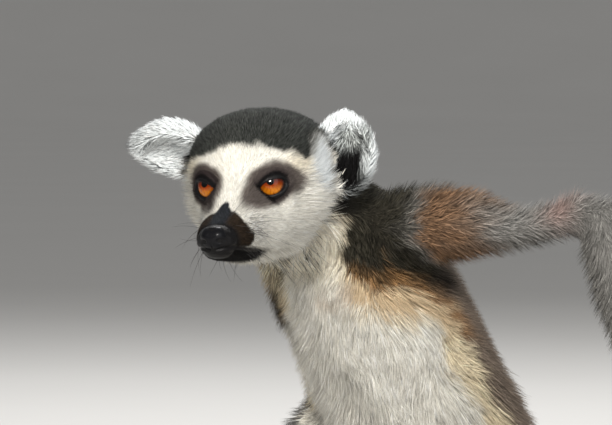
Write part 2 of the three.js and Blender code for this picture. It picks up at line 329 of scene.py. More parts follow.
def triangle_areas(corners: Array) -> Array:
    """The area of each triangle, from its three corners."""
    across = np.cross(corners[:, 1] - corners[:, 0], corners[:, 2] - corners[:, 0])
    return 0.5 * np.linalg.norm(across, axis=1)


def scatter(
    corners: Array, weights: Array, count: int, rng: np.random.Generator
) -> tuple[Array, Array, Array]:
    """Spreads points evenly over triangles.

    Args:
        corners: Three corners to each triangle.
        weights: Each triangle's share of the points.
        count: How many points in all.
        rng: Source of randomness.

    Returns:
        The points, the triangle of each, and the share of each corner in each.
    """
    ladder = np.cumsum(weights)
    steps = (np.arange(count) + rng.random(count)) / count * ladder[-1]
    picked = np.minimum(np.searchsorted(ladder, steps), len(weights) - 1)
    root = np.sqrt(rng.random(count))
    slide = rng.random(count)
    shares = np.stack([1.0 - root, root * (1.0 - slide), root * slide], axis=1)
    return np.einsum("ij,ijk->ik", shares, corners[picked]), picked, shares


# ---- Lie of the land: bones, tail and trunk lines ----


@dataclass(frozen=True)
class TailLine:
    """The tail's line along the floor, which the rings are counted on, in metres."""

    length: float = 0.585
    swing: float = 62.0
    start: tuple[float, float] = (0.0, 0.0143)
    steps: int = 110

    def points(self) -> Array:
        """Points along the line, seen from above."""
        share = np.arange(self.steps + 1) / self.steps
        turn = np.radians(self.swing * np.sin(np.pi * (1.6 * share - 0.05)))
        step = self.length / self.steps
        east = self.start[0] - np.concatenate([[0.0], np.cumsum(np.sin(turn[:-1]) * step)])
        north = self.start[1] + np.concatenate([[0.0], np.cumsum(np.cos(turn[:-1]) * step)])
        return np.stack([east, north], axis=1)

    def measure(self, points: Array) -> tuple[Array, Array]:
        """Follows the tail beside each point.

        Args:
            points: The points.

        Returns:
            How far along the tail each lies, from 0 to 1, and the tail's heading there.
        """
        line = self.points()
        gaps = np.linalg.norm(points[:, None, :2] - line[None], axis=2)
        nearest = np.argmin(gaps, axis=1)
        ahead = line[np.minimum(nearest + 1, self.steps)] - line[np.maximum(nearest - 1, 0)]
        heading = np.concatenate([ahead, np.zeros((len(ahead), 1))], axis=1)
        return nearest / self.steps, unit(heading)


TAIL = TailLine()


def node_middle(name: str) -> Array:
    """The middle of a solid's box."""
    low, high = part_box(name)
    return np.array((low + high) / 2.0)


def long_axis(name: str, after: Array) -> Array:
    """The way a limb's solid runs, pointing on towards what comes after it."""
    points = read(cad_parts[name].data.vertices, "co", 3)
    centred = points - points.mean(axis=0)
    axis = np.linalg.svd(centred, full_matrices=False)[2][0]
    return axis * np.sign(axis @ (after - points.mean(axis=0)))


@dataclass(frozen=True)
class TrunkLine:
    """The trunk's middle line in the mirror plane, from the rump up to the shoulders."""

    heights: tuple[float, ...] = (0.021, 0.044, 0.078, 0.116, 0.155, 0.186, 0.197)
    norths: tuple[float, ...] = (0.0043, 0.0003, -0.0137, -0.0357, -0.0597, -0.0837, -0.0937)

    def round_angle(self, points: Array) -> Array:
        """How far round from the breast each point lies, from 0 to 180 degrees at the back."""
        north = np.interp(points[:, 2], self.heights, self.norths)
        return np.degrees(np.arctan2(np.abs(points[:, 0]), north - points[:, 1]))


TRUNK = TrunkLine()
DOWN_THE_TRUNK = unit(np.array([0.0, 0.098, -0.176]))


def limb_headings() -> dict[str, Array]:
    """The way the hair lies on each solid of the limbs."""
    chains = (
        ("upper_arm", "forearm", "hand"),
        ("thigh", "shank", "foot"),
    )
    headings = {}
    for side in Side:
        for chain in chains:
            names = [f"{link}_{side.word}" for link in chain]
            for name, after in zip(names, names[1:]):
                headings[name] = long_axis(name, node_middle(after))
            last, before = names[-1], names[-2]
            beyond = 2.0 * node_middle(last) - node_middle(before)
            headings[last] = long_axis(last, beyond)
    return headings


# ---- Markings ----


def srgb(red: float, green: float, blue: float) -> Array:
    """A colour told in sRGB from 0 to 255, as linear light."""
    value = np.array([red, green, blue]) / 255.0
    return np.where(value <= 0.04045, value / 12.92, ((value + 0.055) / 1.055) ** 2.4)


class Hue(Enum):
    """The coat's colours."""

    WHITE = (240, 236, 225)
    CREAM = (236, 220, 188)
    TAN = (176, 132, 84)
    CAP = (62, 64, 61)
    COLLAR = (58, 55, 46)
    ROSY = (126, 94, 66)
    BACK = (150, 141, 131)
    LIMB = (138, 136, 132)
    PALE_LIMB = (196, 193, 187)
    PATCH = (114, 105, 99)
    PATCH_DARK = (52, 44, 44)
    WHISKER_BED = (176, 172, 168)
    MUZZLE = (40, 43, 48)
    MUZZLE_SIDE = (50, 40, 31)
    BLACK = (12, 11, 12)
    EAR = (236, 241, 242)
    EAR_INSIDE = (142, 146, 143)
    PINK = (190, 140, 128)

    @property
    def light(self) -> Array:
        """The colour as linear light."""
        return srgb(*self.value)


def ripple(points: Array, wavelength: float, seed: int) -> Array:
    """A smooth wobble between about -1 and 1 over space, the same on every run."""
    rng = np.random.default_rng(seed)
    waves = unit(rng.normal(size=(7, 3))) * (2.0 * np.pi / wavelength)
    phases = rng.random(7) * 2.0 * np.pi
    return np.sin(points @ waves.T + phases).sum(axis=1) / 3.0


def eye_reading(local: Array, side: Side) -> tuple[Array, Array, Array, Array]:
    """Places round an eye.

    Args:
        local: Points in the head's frame.
        side: Which eye.

    Returns:
        How far each is from the lids' edge (1 on it, 0 at the opening's middle), how far round
        the eyeball from the opening's middle in millimetres, and its distance and direction
        from the eyeball's middle.
    """
    facing = EYES.facing(side)
    outwards = unit(np.cross([0.0, 0.0, 1.0], facing)) * side.value
    away = local - EYES.middle(side)
    distance = np.linalg.norm(away, axis=1)
    aim = away / np.maximum(distance, 1e-6)[:, None]
    ahead = aim @ facing
    across = np.arctan2(aim @ outwards, ahead) * EYES.radius
    height = np.arcsin(np.clip(aim[:, 2], -1.0, 1.0)) * EYES.radius
    height = height - EYES.slant * across
    limit = np.where(height > 0.0, EYES.rise_above, EYES.fall_below)
    edge = np.sqrt(np.abs(across / EYES.half_width) ** 1.8 + (height / limit) ** 2)
    halo = np.hypot(across / 1.25, height) + 30.0 * (ahead < 0.05)
    return np.where(ahead > 0.05, edge, 9.0), halo, distance, aim


def breast_reading(
    points: Array, angle: Array, wobble: Array, legs: Array
) -> tuple[Array, Array, Array, Array]:
    """How far inside the pale breast and belly each place is, in millimetres.

    Args:
        points: Places, in metres.
        angle: How far round the trunk each is, from the breast.
        wobble: What makes the edge uneven, in millimetres.
        legs: One on the legs, and zero elsewhere.

    Returns:
        The reading as a whole, then how far below the shoulder's edge, ahead of the collar, and
        on the throat each place is.
    """
    x, y, z = (points / MM).T
    under = 157.5 - 0.29 * (y + 59.0) + wobble - z
    ahead = -102.5 - 0.9 * np.clip(z - 197.0, 0.0, 30.0) + wobble - y
    ahead = ahead - 40.0 * smoothstep(196.0, 206.0, z) * (1.0 - smoothstep(20.0, 27.0, np.abs(x)))
    behind = (98.0 + 0.08 * (z - 40.0) - angle + 3.0 * wobble - 28.0 * legs) * 0.45
    throat = (33.0 - angle) * 0.5 + wobble - 60.0 * smoothstep(192.0, 200.0, z)
    margin = np.minimum(np.maximum(under, ahead), np.where(z < 168.0, behind, 99.0))
    return np.maximum(margin, throat), under, ahead, throat


@dataclass
class Dye:
    """Colours laid over places on the coat.

    Attributes:
        points: The places, in metres.
        colour: The linear colour of each.
        pepper: How much hairs differ there, from 0 to 1.
    """

    points: Array
    colour: Array
    pepper: Array

    def lay(self, hue: Hue, cover: Array) -> None:
        """Lays a hue over the colours in place, as far as the cover says."""
        self.colour += cover[:, None] * (hue.light - self.colour)


@dataclass
class HeadMarkings:
    """Paints the markings of the head, with painted shade on the far eye's patch.

    Attributes:
        dye: The colours to lay over.
        local: The places in the head's frame, in millimetres.
        wobble: What makes edges uneven, in millimetres.
        where: Which places are on the head.
    """

    dye: Dye
    local: Array
    wobble: Array
    where: Array

    def cap(self) -> None:
        """White face, grey cap and nape, and the white tufts before the ears."""
        dye, wobble, where = self.dye, self.wobble, self.where
        x, y, z = self.local.T
        out = np.abs(y)
        dye.lay(Hue.WHITE, where.astype(float))
        dye.lay(Hue.CREAM, 0.5 * where * bump(24.0, 9.0, out) * bump(8.0, 9.0, z))
        cap_edge = 17.6 - 0.011 * out**2
        cap = smoothstep(-1.2, 1.6, z - cap_edge + wobble)
        lobe = 9.0 * smoothstep(24.0, 30.0, out)
        nape = smoothstep(36.0, 46.0, -x - lobe + 0.35 * z + wobble) * smoothstep(-16.0, -4.0, z)
        scruff = smoothstep(32.0, 40.0, -x + wobble) * (1.0 - smoothstep(25.0, 31.0, out + wobble))
        scruff *= np.maximum(smoothstep(-22.0, -12.0, z), 1.0 - smoothstep(14.0, 20.0, out))
        nape = np.maximum(nape, scruff)
        tuft = np.max([ear.tuft(self.local) for ear in EARS], axis=0)
        cap = np.maximum(cap, nape) * where * (1.0 - tuft)
        dye.lay(Hue.EAR, tuft * where)
        dye.lay(Hue.CAP, cap)
        dye.pepper[where] = 0.08
        dye.pepper += 0.42 * cap
        dye.lay(Hue.WHISKER_BED, 0.35 * where * bump(14.0, 14.0, x) * bump(-15.0, 12.0, z))

    def eye_patch(self, side: Side) -> None:
        """The dark patch round an eye, with its tear mark and black lids. The right eye's patch is darkened
        more than the left's, as painted shade on the far side of the face.

        Args:
            side: Which eye.
        """
        dye, wobble, where = self.dye, self.wobble, self.where
        x, y, z = self.local.T
        reach = side.value * y
        ellipse = np.sqrt(((reach - 14.8) / 10.2) ** 2 + ((z - 1.2) / 9.6) ** 2)
        patch = (1.0 - smoothstep(0.8, 1.12, ellipse + 0.06 * wobble)) * (x > -16.0) * where
        tear = np.exp(-(((reach - 8.0) / 3.4) ** 2 + ((z + 4.6) / 3.0) ** 2)) * (x > 5.0) * where
        dye.lay(Hue.PATCH, patch)
        dye.lay(Hue.PATCH_DARK, 0.5 * patch * smoothstep(0.0, 8.0, z))
        edge, halo, distance, aim = eye_reading(self.local, side)
        # The left eye gets 0.35 of PATCH_DARK in the patch's middle and the tear mark. The right, far eye
        # gets 0.9, and the extra is painted shade.
        centre_dark_and_far_shade = 0.35 if side is Side.LEFT else 0.9
        close = (1.0 - smoothstep(10.6, 12.2, distance)) * where
        dye.lay(Hue.PATCH_DARK, centre_dark_and_far_shade * np.maximum(patch * (ellipse < 0.75), tear))
        dye.lay(Hue.PATCH_DARK, 0.85 * close * (1.0 - smoothstep(5.5, 8.8, halo)))
        rim = 5.2 + 0.9 * aim[:, 2]
        black = np.maximum(1.0 - smoothstep(0.0, 1.2, halo - rim), 1.0 - smoothstep(1.1, 1.25, edge))
        dye.lay(Hue.BLACK, close * black)

    def muzzle(self) -> None:
        """The black muzzle, browner at its sides, and the black lips."""
        dye, wobble, where = self.dye, self.wobble, self.where
        x, y, z = self.local.T
        out = np.abs(y)
        side_edge = 16.5 + 5.5 * smoothstep(0.5, 4.0, out)
        muzzle = smoothstep(-0.8, 1.4, x - side_edge + wobble) * where
        dye.lay(Hue.MUZZLE, muzzle)
        flank = smoothstep(2.5, 5.0, out) * (1.0 - smoothstep(30.0, 36.0, x))
        dye.lay(Hue.MUZZLE_SIDE, muzzle * flank)
        lip_line = -18.6 - 0.24 * np.clip(35.0 - x, 0.0, 40.0)
        lips = smoothstep(-1.4, 0.4, lip_line - z) * smoothstep(0.5, 4.5, x + wobble)
        chin = 1.0 - smoothstep(-28.5, -31.0, z)
        dye.lay(Hue.BLACK, lips * where * chin)
        dye.lay(Hue.BLACK, where * smoothstep(31.0, 34.0, x))
        dye.pepper[where & (muzzle > 0.5)] = 0.4
        dye.pepper += 0.25 * where * bump(16.0, 12.0, x) * bump(-14.0, 12.0, z)


@dataclass
class Markings:
    """Paints the animal's markings by place on the body, with some painted shade.

    Attributes:
        ring_pairs: How many black and white pairs of rings the tail has.
        tail_base: Where along the tail the rings begin, from 0 to 1.
    """

    ring_pairs: float = 13.5
    tail_base: float = 0.045

    def paint(self, points: Array, node: Array, normals: Array) -> tuple[Array, Array]:
        """The coat's colour and how peppered it is.

        Args:
            points: Places on the skin or the coat, in metres.
            node: The number of the solid of each.
            normals: The skin's normals there.

        Returns:
            Linear colours, and how much hairs differ at each place, from 0 to 1.
        """
        names = np.array(NODES)[node]
        dye = Dye(points, np.tile(Hue.BACK.light, (len(points), 1)), np.full(len(points), 0.22))
        body = np.isin(names, ["trunk", "neck"])
        arms = np.char.startswith(names, "upper_arm") | np.char.startswith(names, "forearm")
        legs = np.char.startswith(names, "thigh") | np.char.startswith(names, "shank")
        ends = np.char.startswith(names, "hand") | np.char.startswith(names, "foot")
        tail = np.char.startswith(names, "tail")
        head = np.isin(names, Part.HEAD.value)
        ears = np.char.startswith(names, "ear")
        self._limbs(dye, normals, arms, legs, ends)
        self._body(dye, body | arms | legs, legs)
        self._tail(dye, tail)
        self._head(dye, head, ears | head | body)
        self._ears(dye, names, normals, ears)
        return dye.colour, dye.pepper

    def _limbs(self, dye: Dye, normals: Array, arms: Array, legs: Array, ends: Array) -> None:
        """Grey arms, paler legs, whiter inside, and nearly white hands and feet with dark soles.

        Args:
            dye: The colours to lay over.
            normals: The skin's normals.
            arms: Which places are on the arms.
            legs: Which are on the thighs and shanks.
            ends: Which are on the hands and feet.
        """
        dye.lay(Hue.LIMB, (arms | legs).astype(float))
        inner = 0.4 + 0.3 * smoothstep(0.1, 0.8, -normals[:, 0] * np.sign(dye.points[:, 0]))
        dye.lay(Hue.PALE_LIMB, legs * inner)
        dye.lay(Hue.PALE_LIMB, ends.astype(float))
        sole = smoothstep(0.35, 0.6, -normals[:, 2]) * ends
        dye.lay(Hue.BLACK, sole)

    def _body(self, dye: Dye, where: Array, legs: Array) -> None:
        """Dark collar, rosy shoulders, grey-brown back and white breast and belly, with black painted shade
        along the breast's far edge and on the far shoulder.

        Args:
            dye: The colours to lay over.
            where: Which places are on the trunk, neck, arms and legs.
            legs: Which are on the thighs and shanks.
        """
        points = dye.points
        x, y, z = (points / MM).T
        wobble = ripple(points, 0.022, 3) * 2.6 + ripple(points, 0.009, 4) * 1.4
        out = np.abs(x)
        shoulder = smoothstep(42.0, 52.0, out + wobble) * (1.0 - smoothstep(56.0, 82.0, out + wobble))
        shoulder *= smoothstep(150.0, 165.0, z)
        collar = 1.0 - smoothstep(38.0, 50.0, out + wobble)
        collar *= smoothstep(150.0, 172.0, z) * (1.0 - smoothstep(-66.0, -46.0, y))
        rosy_back = smoothstep(60.0, 110.0, z) * (1.0 - smoothstep(150.0, 185.0, z))
        dye.lay(Hue.ROSY, 0.3 * rosy_back * where * (out < 52.0))
        dye.lay(Hue.ROSY, 0.9 * shoulder * where)
        dye.lay(Hue.COLLAR, collar * where)
        dye.pepper += where * (0.34 * collar + 0.2 * shoulder)

        angle = TRUNK.round_angle(points)
        margin, under, ahead, throat = breast_reading(points, angle, wobble, legs)
        torso = where * (out < 56.0 + np.where(z > 150.0, -4.0, 0.0))
        side_only = 1.0 - smoothstep(100.0, 120.0, angle)
        side_only = side_only * smoothstep(-3.0, 3.0, y - np.where(x > 0.0, -100.0, -80.0))
        dye.lay(Hue.TAN, 0.68 * bump(1.0, 13.0, under) * side_only * torso)
        dye.lay(Hue.CREAM, smoothstep(-2.0, 4.0, margin) * torso)
        whiter = smoothstep(2.0, 10.0, np.maximum(ahead, throat) + 3.0) * (margin > -2.0)
        whiter = np.maximum(whiter, smoothstep(6.0, 17.0, margin))
        dye.lay(Hue.WHITE, whiter * torso * (1.0 - 0.45 * smoothstep(160.0, 176.0, z)))
        dye.lay(Hue.TAN, 0.45 * bump(6.0, 9.0, under) * side_only * torso)
        # A black strip along the breast's far right edge, between the far arm and the body: painted shade.
        rim = 1.0 - smoothstep(-83.0, -78.0, 0.731 * x + 0.682 * y + wobble)
        rim = rim * smoothstep(124.0, 134.0, z) * (1.0 - smoothstep(158.0, 168.0, z)) * (y < -50.0)
        dye.lay(Hue.BLACK, 0.9 * rim * torso)
        dye.pepper -= (0.12 + 0.34 * collar) * smoothstep(-2.0, 5.0, margin) * torso
        spot = np.exp(-(((out - 34.5) / 9.0) ** 2 + ((y + 52.0) / 10.0) ** 2 + ((z - 167.0) / 7.0) ** 2))
        dye.lay(Hue.BLACK, np.clip(0.9 * spot * where, 0.0, 1.0))
        elbow = np.exp(-(((x - 97.0) / 7.0) ** 2 + ((z - 200.0) / 8.0) ** 2)) * (y < -38.0)
        dye.lay(Hue.PINK, 0.35 * elbow * where)
        far_arm = 1.0 - smoothstep(-34.0, -24.0, x)
        far_arm = far_arm * (1.0 - smoothstep(-80.0, -60.0, y))
        creamy = bump(172.0, 20.0, z + 0.5 * wobble)
        dye.lay(Hue.CREAM, 0.9 * far_arm * creamy * where)
        # Black on the far upper arm and shoulder: painted shade on the far side. The cream laid above is the
        # throat's own colour.
        dye.lay(Hue.BLACK, 0.85 * far_arm * bump(143.0, 22.0, z + wobble) * where)

    def _tail(self, dye: Dye, where: Array) -> None:
        """White and black rings, with a black tip.

        Args:
            dye: The colours to lay over.
            where: Which places are on the tail.
        """
        points = dye.points
        share = np.zeros(len(points))
        if where.any():
            share[where] = TAIL.measure(points[where])[0]
        share = share + ripple(points, 0.02, 5) * 0.0012
        turn = (share - self.tail_base) / (1.0 - self.tail_base) * self.ring_pairs
        wave = np.abs((turn % 1.0) - 0.5) * 2.0
        black = smoothstep(0.42, 0.58, 1.0 - wave)
        ringed = where * smoothstep(self.tail_base - 0.01, self.tail_base + 0.01, share)
        dye.lay(Hue.WHITE, ringed)
        dye.lay(Hue.BLACK, ringed * black)
        dye.pepper[where] = 0.1

    def _head(self, dye: Dye, where: Array, near: Array) -> None:
        """White face under a grey cap, with dark patches round the eyes and a black muzzle.

        Args:
            dye: The colours to lay over.
            where: Which places are on the head.
            near: Which are on the head, ears, neck and trunk.
        """
        local = HEAD.inward(dye.points)
        wobble = ripple(dye.points, 0.012, 6) * 0.9 + ripple(dye.points, 0.005, 7) * 0.5
        head = HeadMarkings(dye, local, wobble, where)
        head.cap()
        for side in Side:
            head.eye_patch(side)
        head.muzzle()
        x, y, z = local.T
        gap = ((x + 50.0) / 5.5) ** 2 + ((np.abs(y) - 36.0) / 9.0) ** 2 + ((z + 14.0) / 8.0) ** 2
        dye.lay(Hue.BLACK, np.clip(1.2 * np.exp(-gap) * near, 0.0, 1.0))

    def _ears(self, dye: Dye, names: Array, normals: Array, where: Array) -> None:
        """White ears, the left one grey inside, with black painted shadow deep in its hollow.

        Args:
            dye: The colours to lay over.
            names: The solid that each place is on.
            normals: The skin's normals.
            where: Which places are on the ears.
        """
        dye.lay(Hue.EAR, where.astype(float))
        dye.pepper[where] = 0.08
        for ear in EARS:
            here = where & (names == f"ear_{ear.side.word}")
            along, inside, behind = ear.reading(dye.points, normals)
            seen = 1.0 if ear.side is Side.LEFT else 0.0
            inside = inside * smoothstep(-0.45, -0.15, behind)
            dye.lay(Hue.EAR_INSIDE, here * inside * 0.85 * seen)
            dye.pepper += 0.45 * here * inside * seen
            # Black deep in the left ear's hollow: painted shadow in the recess.
            hollow_shadow = inside * (1.0 - smoothstep(0.16, 0.46, along - 0.2 * behind)) * seen
            dye.lay(Hue.BLACK, here * hollow_shadow)


@dataclass(frozen=True)
class Ear:
    """An ear's place on the head, in the head's frame."""

    side: Side
    middle: tuple[float, float, float]
    tip: tuple[float, float, float]
    hollow: tuple[float, float, float]
    front: tuple[float, float, float]
    length: float = 19.2
    half_width: float = 15.4

    def reading(self, points: Array, normals: Array) -> tuple[Array, Array, Array]:
        """How far up the ear a point is, how surely it is inside the cup, and how far back.

        Args:
            points: Places, in metres.
            normals: The skin's normals there.

        Returns:
            The three readings, about 1 at the tip, inside and at the rear edge.
        """
        local = HEAD.inward(points) - np.array(self.middle)
        facing = normals @ HEAD.heading(np.array(self.hollow))
        upwards = unit(np.array(self.tip))
        hollow = unit(np.array(self.hollow))
        along = (local @ upwards) / (1.35 * self.length)
        behind = (local @ np.cross(upwards, hollow)) / self.half_width
        margin = np.maximum(smoothstep(0.62, 0.86, along), smoothstep(0.55, 0.8, np.abs(behind)))
        inside = smoothstep(-0.05, 0.35, facing) * (1.0 - smoothstep(3.0, 6.0, local @ hollow))
        return along, inside * (1.0 - margin), behind

    def tuft(self, local: Array) -> Array:
        """How surely a place on the head is in the white tuft before the ear, from 0 to 1."""
        gap = (local - np.array(self.front)) / np.array([9.0, 9.0, 13.0])
        return 1.0 - smoothstep(0.7, 1.15, np.linalg.norm(gap, axis=1))


EARS = (
    Ear(Side.LEFT, (-43.0, 33.0, 0.0), (-0.2, 0.12, 1.0), (0.85, 0.5, 0.0), (-28.0, 29.0, 6.0)),
    Ear(Side.RIGHT, (-44.0, -37.0, 10.8), (-0.12, -1.0, 0.1), (0.8, -0.15, -0.5), (-30.0, -29.0, 8.0)),
)


# ---- Shader nodes ----


class Expr:
    """A socket that sums, products and comparisons can be written with."""

    def __init__(self, kit: "NodeKit", socket: bpy.types.NodeSocket) -> None:
        self.kit = kit
        self.socket = socket

    def math(self, operation: str, *values: "Expr | float") -> "Expr":
        """Adds a Math node that works on this value and others."""
        inputs = {place: value for place, value in enumerate((self, *values))}
        return self.kit.node("ShaderNodeMath", {"operation": operation}, inputs)

    def __add__(self, other: "Expr | float") -> "Expr":
        """This plus the other."""
        return self.math("ADD", other)

    def __mul__(self, other: "Expr | float") -> "Expr":
        """This times the other."""
        return self.math("MULTIPLY", other)

    def __sub__(self, other: "Expr | float") -> "Expr":
        """This less the other."""
        return self.math("SUBTRACT", other)

    def __rsub__(self, other: float) -> "Expr":
        """The other less this."""
        return self.math("MULTIPLY", -1.0).math("ADD", other)

    def __truediv__(self, other: "Expr | float") -> "Expr":
        """This over the other."""
        return self.math("DIVIDE", other)

    __radd__ = __add__
    __rmul__ = __mul__

    def step(self, low: float, high: float) -> "Expr":
        """Zero below low, one above high, smooth between."""
        settings = {"interpolation_type": "SMOOTHSTEP"}
        inputs = {"Value": self, "From Min": low, "From Max": high}
        return self.kit.node("ShaderNodeMapRange", settings, inputs)

    def root(self) -> "Expr":
        """The square root."""
        return self.math("SQRT")


class NodeKit:
    """Builds one material's nodes."""

    def __init__(self, name: str) -> None:
        """Starts a material with an empty Principled shader."""
        self.material = bpy.data.materials.new(name)
        self.material.use_nodes = True
        self.tree = self.material.node_tree
        self.shader = self.tree.nodes["Principled BSDF"]

    def node(
        self,
        kind: str,
        settings: dict[str, object] | None = None,
        inputs: dict[str | int, object] | None = None,
        output: str | int = 0,
    ) -> Expr:
        """Adds a node.

        Args:
            kind: The node's type.
            settings: Its own properties, set before its sockets.
            inputs: Values or links, by socket name or place.
            output: Which output to return.

        Returns:
            The chosen output.
        """
        made = self.tree.nodes.new(kind)
        for name, value in (settings or {}).items():
            setattr(made, name, value)
        for place, value in (inputs or {}).items():
            self.feed(made.inputs[place], value)
        return Expr(self, made.outputs[output])

    def feed(self, socket: bpy.types.NodeSocket, value: object) -> None:
        """Links a socket to an expression, or sets its value."""
        if isinstance(value, Expr):
            self.tree.links.new(value.socket, socket)
        else:
            socket.default_value = value

    def attribute(self, name: str, output: str = "Color") -> Expr:
        """Reads an attribute of the mesh."""
        return self.node("ShaderNodeAttribute", {"attribute_name": name}, output=output)

    def noise(self, scale: float, vector: Expr | None = None, detail: float = 3.0) -> Expr:
        """A noise texture on object coordinates, or on another vector."""
        if vector is None:
            vector = self.node("ShaderNodeTexCoord", output="Object")
        inputs = {"Vector": vector, "Scale": scale, "Detail": detail}
        return self.node("ShaderNodeTexNoise", None, inputs)

    def mix(self, factor: object, first: object, second: object, blend: str = "MIX") -> Expr:
        """Mixes two colours."""
        settings = {"data_type": "RGBA", "blend_type": blend}
        return self.node("ShaderNodeMix", settings, {0: factor, 6: first, 7: second}, output=2)

    def bump(self, height: Expr, strength: float, distance: float) -> Expr:
        """A bump for the Normal socket."""
        inputs = {"Height": height, "Strength": strength, "Distance": distance}
        return self.node("ShaderNodeBump", None, inputs)

    def finish(self, **sockets: object) -> bpy.types.Material:
        """Sets the shader's sockets, named with underscores, and hands the material over."""
        for name, value in sockets.items():
            self.feed(self.shader.inputs[name.replace("_", " ").replace("  ", " ")], value)
        return self.material


def rgba(hue: Array) -> tuple[float, float, float, float]:
    """A linear colour with full alpha."""
    return (float(hue[0]), float(hue[1]), float(hue[2]), 1.0)


@dataclass(frozen=True)
class HairFinish:
    """Dry hair: each lock has its own colour, with painted shade darkening it at the root.

    Attributes:
        name: The material's name.
        roughness: How dull the hair is.
    """

    name: str
    roughness: float = 0.75

    def material(self) -> bpy.types.Material:
        """Builds the material."""
        kit = NodeKit(self.name)
        grain = kit.noise(900.0).step(0.3, 0.7)
        tone = kit.mix(grain * 0.10, kit.attribute("Coat"), (0.02, 0.018, 0.016, 1.0))
        return kit.finish(
            Base_Color=tone,
            Roughness=grain * 0.12 + (self.roughness - 0.06),
            Specular_IOR_Level=0.08,
        )


@dataclass(frozen=True)
class HideFinish:
    """Skin: felt-like under the hair, and smooth black leather where it is bare."""

    name: str = "hide"

    def material(self) -> bpy.types.Material:
        """Builds the material."""
        kit = NodeKit(self.name)
        bare = kit.attribute("Bare", "Fac")
        pores = kit.noise(1400.0, detail=2.0)
        wrinkles = kit.noise(420.0, detail=4.0)
        height = pores * 0.5 + wrinkles * 0.5
        tone = kit.mix(pores.step(0.35, 0.7) * 0.3, kit.attribute("Coat"), (0.01, 0.009, 0.009, 1.0))
        return kit.finish(
            Base_Color=tone,
            Roughness=(1.0 - bare) * 0.38 + wrinkles * 0.16 + 0.36,
            Specular_IOR_Level=0.12,
            Normal=kit.bump(height, 0.5, 0.0006),
        )


@dataclass(frozen=True)
class EyeFinish:
    """A wet amber eye: black pupil, streaked iris, dark rim, all under a clear coat. The iris is darkened
    towards its top as painted shade from the upper lid.

    Attributes:
        pupil: The pupil's radius, in millimetres.
        iris: The iris's radius.
    """

    name: str = "eye_amber"
    pupil: float = 1.35
    iris: float = 5.7

    def material(self) -> bpy.types.Material:
        """Builds the material from the attribute that tells each point's place on the eye."""
        kit = NodeKit(self.name)
        place = kit.attribute("Gaze", "Vector")
        parts = [
            kit.node("ShaderNodeSeparateXYZ", None, {0: place}, output=axis) for axis in range(3)
        ]
        across, height, _ = parts
        ring = (across * across + height * height).root()
        spoke = height.math("ARCTAN2", across)
        streak_place = kit.node("ShaderNodeCombineXYZ", None, {0: spoke * 3.2, 1: ring * 0.16})
        streaks = kit.noise(4.0, streak_place, detail=5.0)
        blotch = kit.noise(1.6, streak_place, detail=2.0)
        # Painted shade from the upper lid: the iris is bright orange low down and dark red towards its top.
        amber_under_lid_shade = kit.mix((height * 0.5 + 1.6).step(0.0, 2.2), (0.52, 0.165, 0.007, 1), (0.16, 0.013, 0.002, 1))
        amber = kit.mix(ring.step(1.2, 3.6), (0.40, 0.055, 0.004, 1), amber_under_lid_shade)
        amber = kit.mix(streaks.step(0.42, 0.66) * 0.7, amber, (0.56, 0.19, 0.008, 1))
        amber = kit.mix(blotch.step(0.48, 0.7) * 0.75, amber, (0.20, 0.025, 0.003, 1))
        # More painted shade from the upper lid: the iris's top is darkened, then nearly black in a band
        # under the lid.
        amber = kit.mix(height.step(-4.6, -0.6) * 0.86, amber, (0.11, 0.009, 0.001, 1))
        amber = kit.mix(height.step(-1.1, 1.1) * 0.85, amber, (0.006, 0.002, 0.002, 1))
        amber = kit.mix(ring.step(self.iris - 1.1, self.iris), amber, (0.02, 0.008, 0.005, 1))
        dark = ring.step(self.iris - 0.2, self.iris + 0.4)
        whole = kit.mix(dark, amber, (0.012, 0.009, 0.008, 1))
        whole = kit.mix(ring.step(self.pupil, self.pupil + 0.35), (0.002, 0.002, 0.002, 1), whole)
        return kit.finish(
            Base_Color=whole,
            Roughness=0.5,
            Specular_IOR_Level=0.0,
            Coat_Weight=1.0,
            Coat_IOR=1.34,
            Coat_Roughness=0.03,
        )


@dataclass(frozen=True)
class LeatherFinish:
    """The nose pad's wet black leather, finely pebbled."""

    name: str = "nose_leather"
    colour: tuple[float, float, float] = (0.002, 0.002, 0.003)

    def material(self) -> bpy.types.Material:
        """Builds the material."""
        kit = NodeKit(self.name)
        vector = kit.node("ShaderNodeTexCoord", output="Object")
        cells = kit.node("ShaderNodeTexVoronoi", None, {"Vector": vector, "Scale": 1500.0})
        tone = kit.mix(cells.step(0.1, 0.6) * 0.35, rgba(np.array(self.colour)), (0.005, 0.005, 0.006, 1))
        return kit.finish(
            Base_Color=tone,
            Roughness=cells * 0.25 + 0.24,
            Specular_IOR_Level=0.12,
            Coat_Weight=0.14,
            Coat_IOR=1.4,
            Coat_Roughness=0.1,
            Normal=kit.bump(1.0 - cells, 0.07, 0.0002),
        )


@dataclass(frozen=True)
class HornFinish:
    """Nails and whiskers: plain dark horn with faint streaks."""

    name: str
    colour: tuple[float, float, float]
    roughness: float = 0.35

    def material(self) -> bpy.types.Material:
        """Builds the material."""
        kit = NodeKit(self.name)
        streak = kit.noise(700.0, detail=2.0)
        base = np.array(self.colour)
        tone = kit.mix(streak.step(0.3, 0.7), rgba(base * 0.7), rgba(base * 1.3))
        return kit.finish(Base_Color=tone, Roughness=streak * 0.2 + (self.roughness - 0.1))


@dataclass(frozen=True)
class FloorFinish:
    """The studio's plain matt floor."""

    name: str = "studio_floor"

    def material(self) -> bpy.types.Material:
        """Builds the material."""
        kit = NodeKit(self.name)
        mottle = kit.noise(3.0)
        tone = kit.mix(mottle, (0.60, 0.59, 0.57, 1.0), (0.64, 0.63, 0.61, 1.0))
        return kit.finish(Base_Color=tone, Roughness=0.9)


# ---- Mesh helpers ----


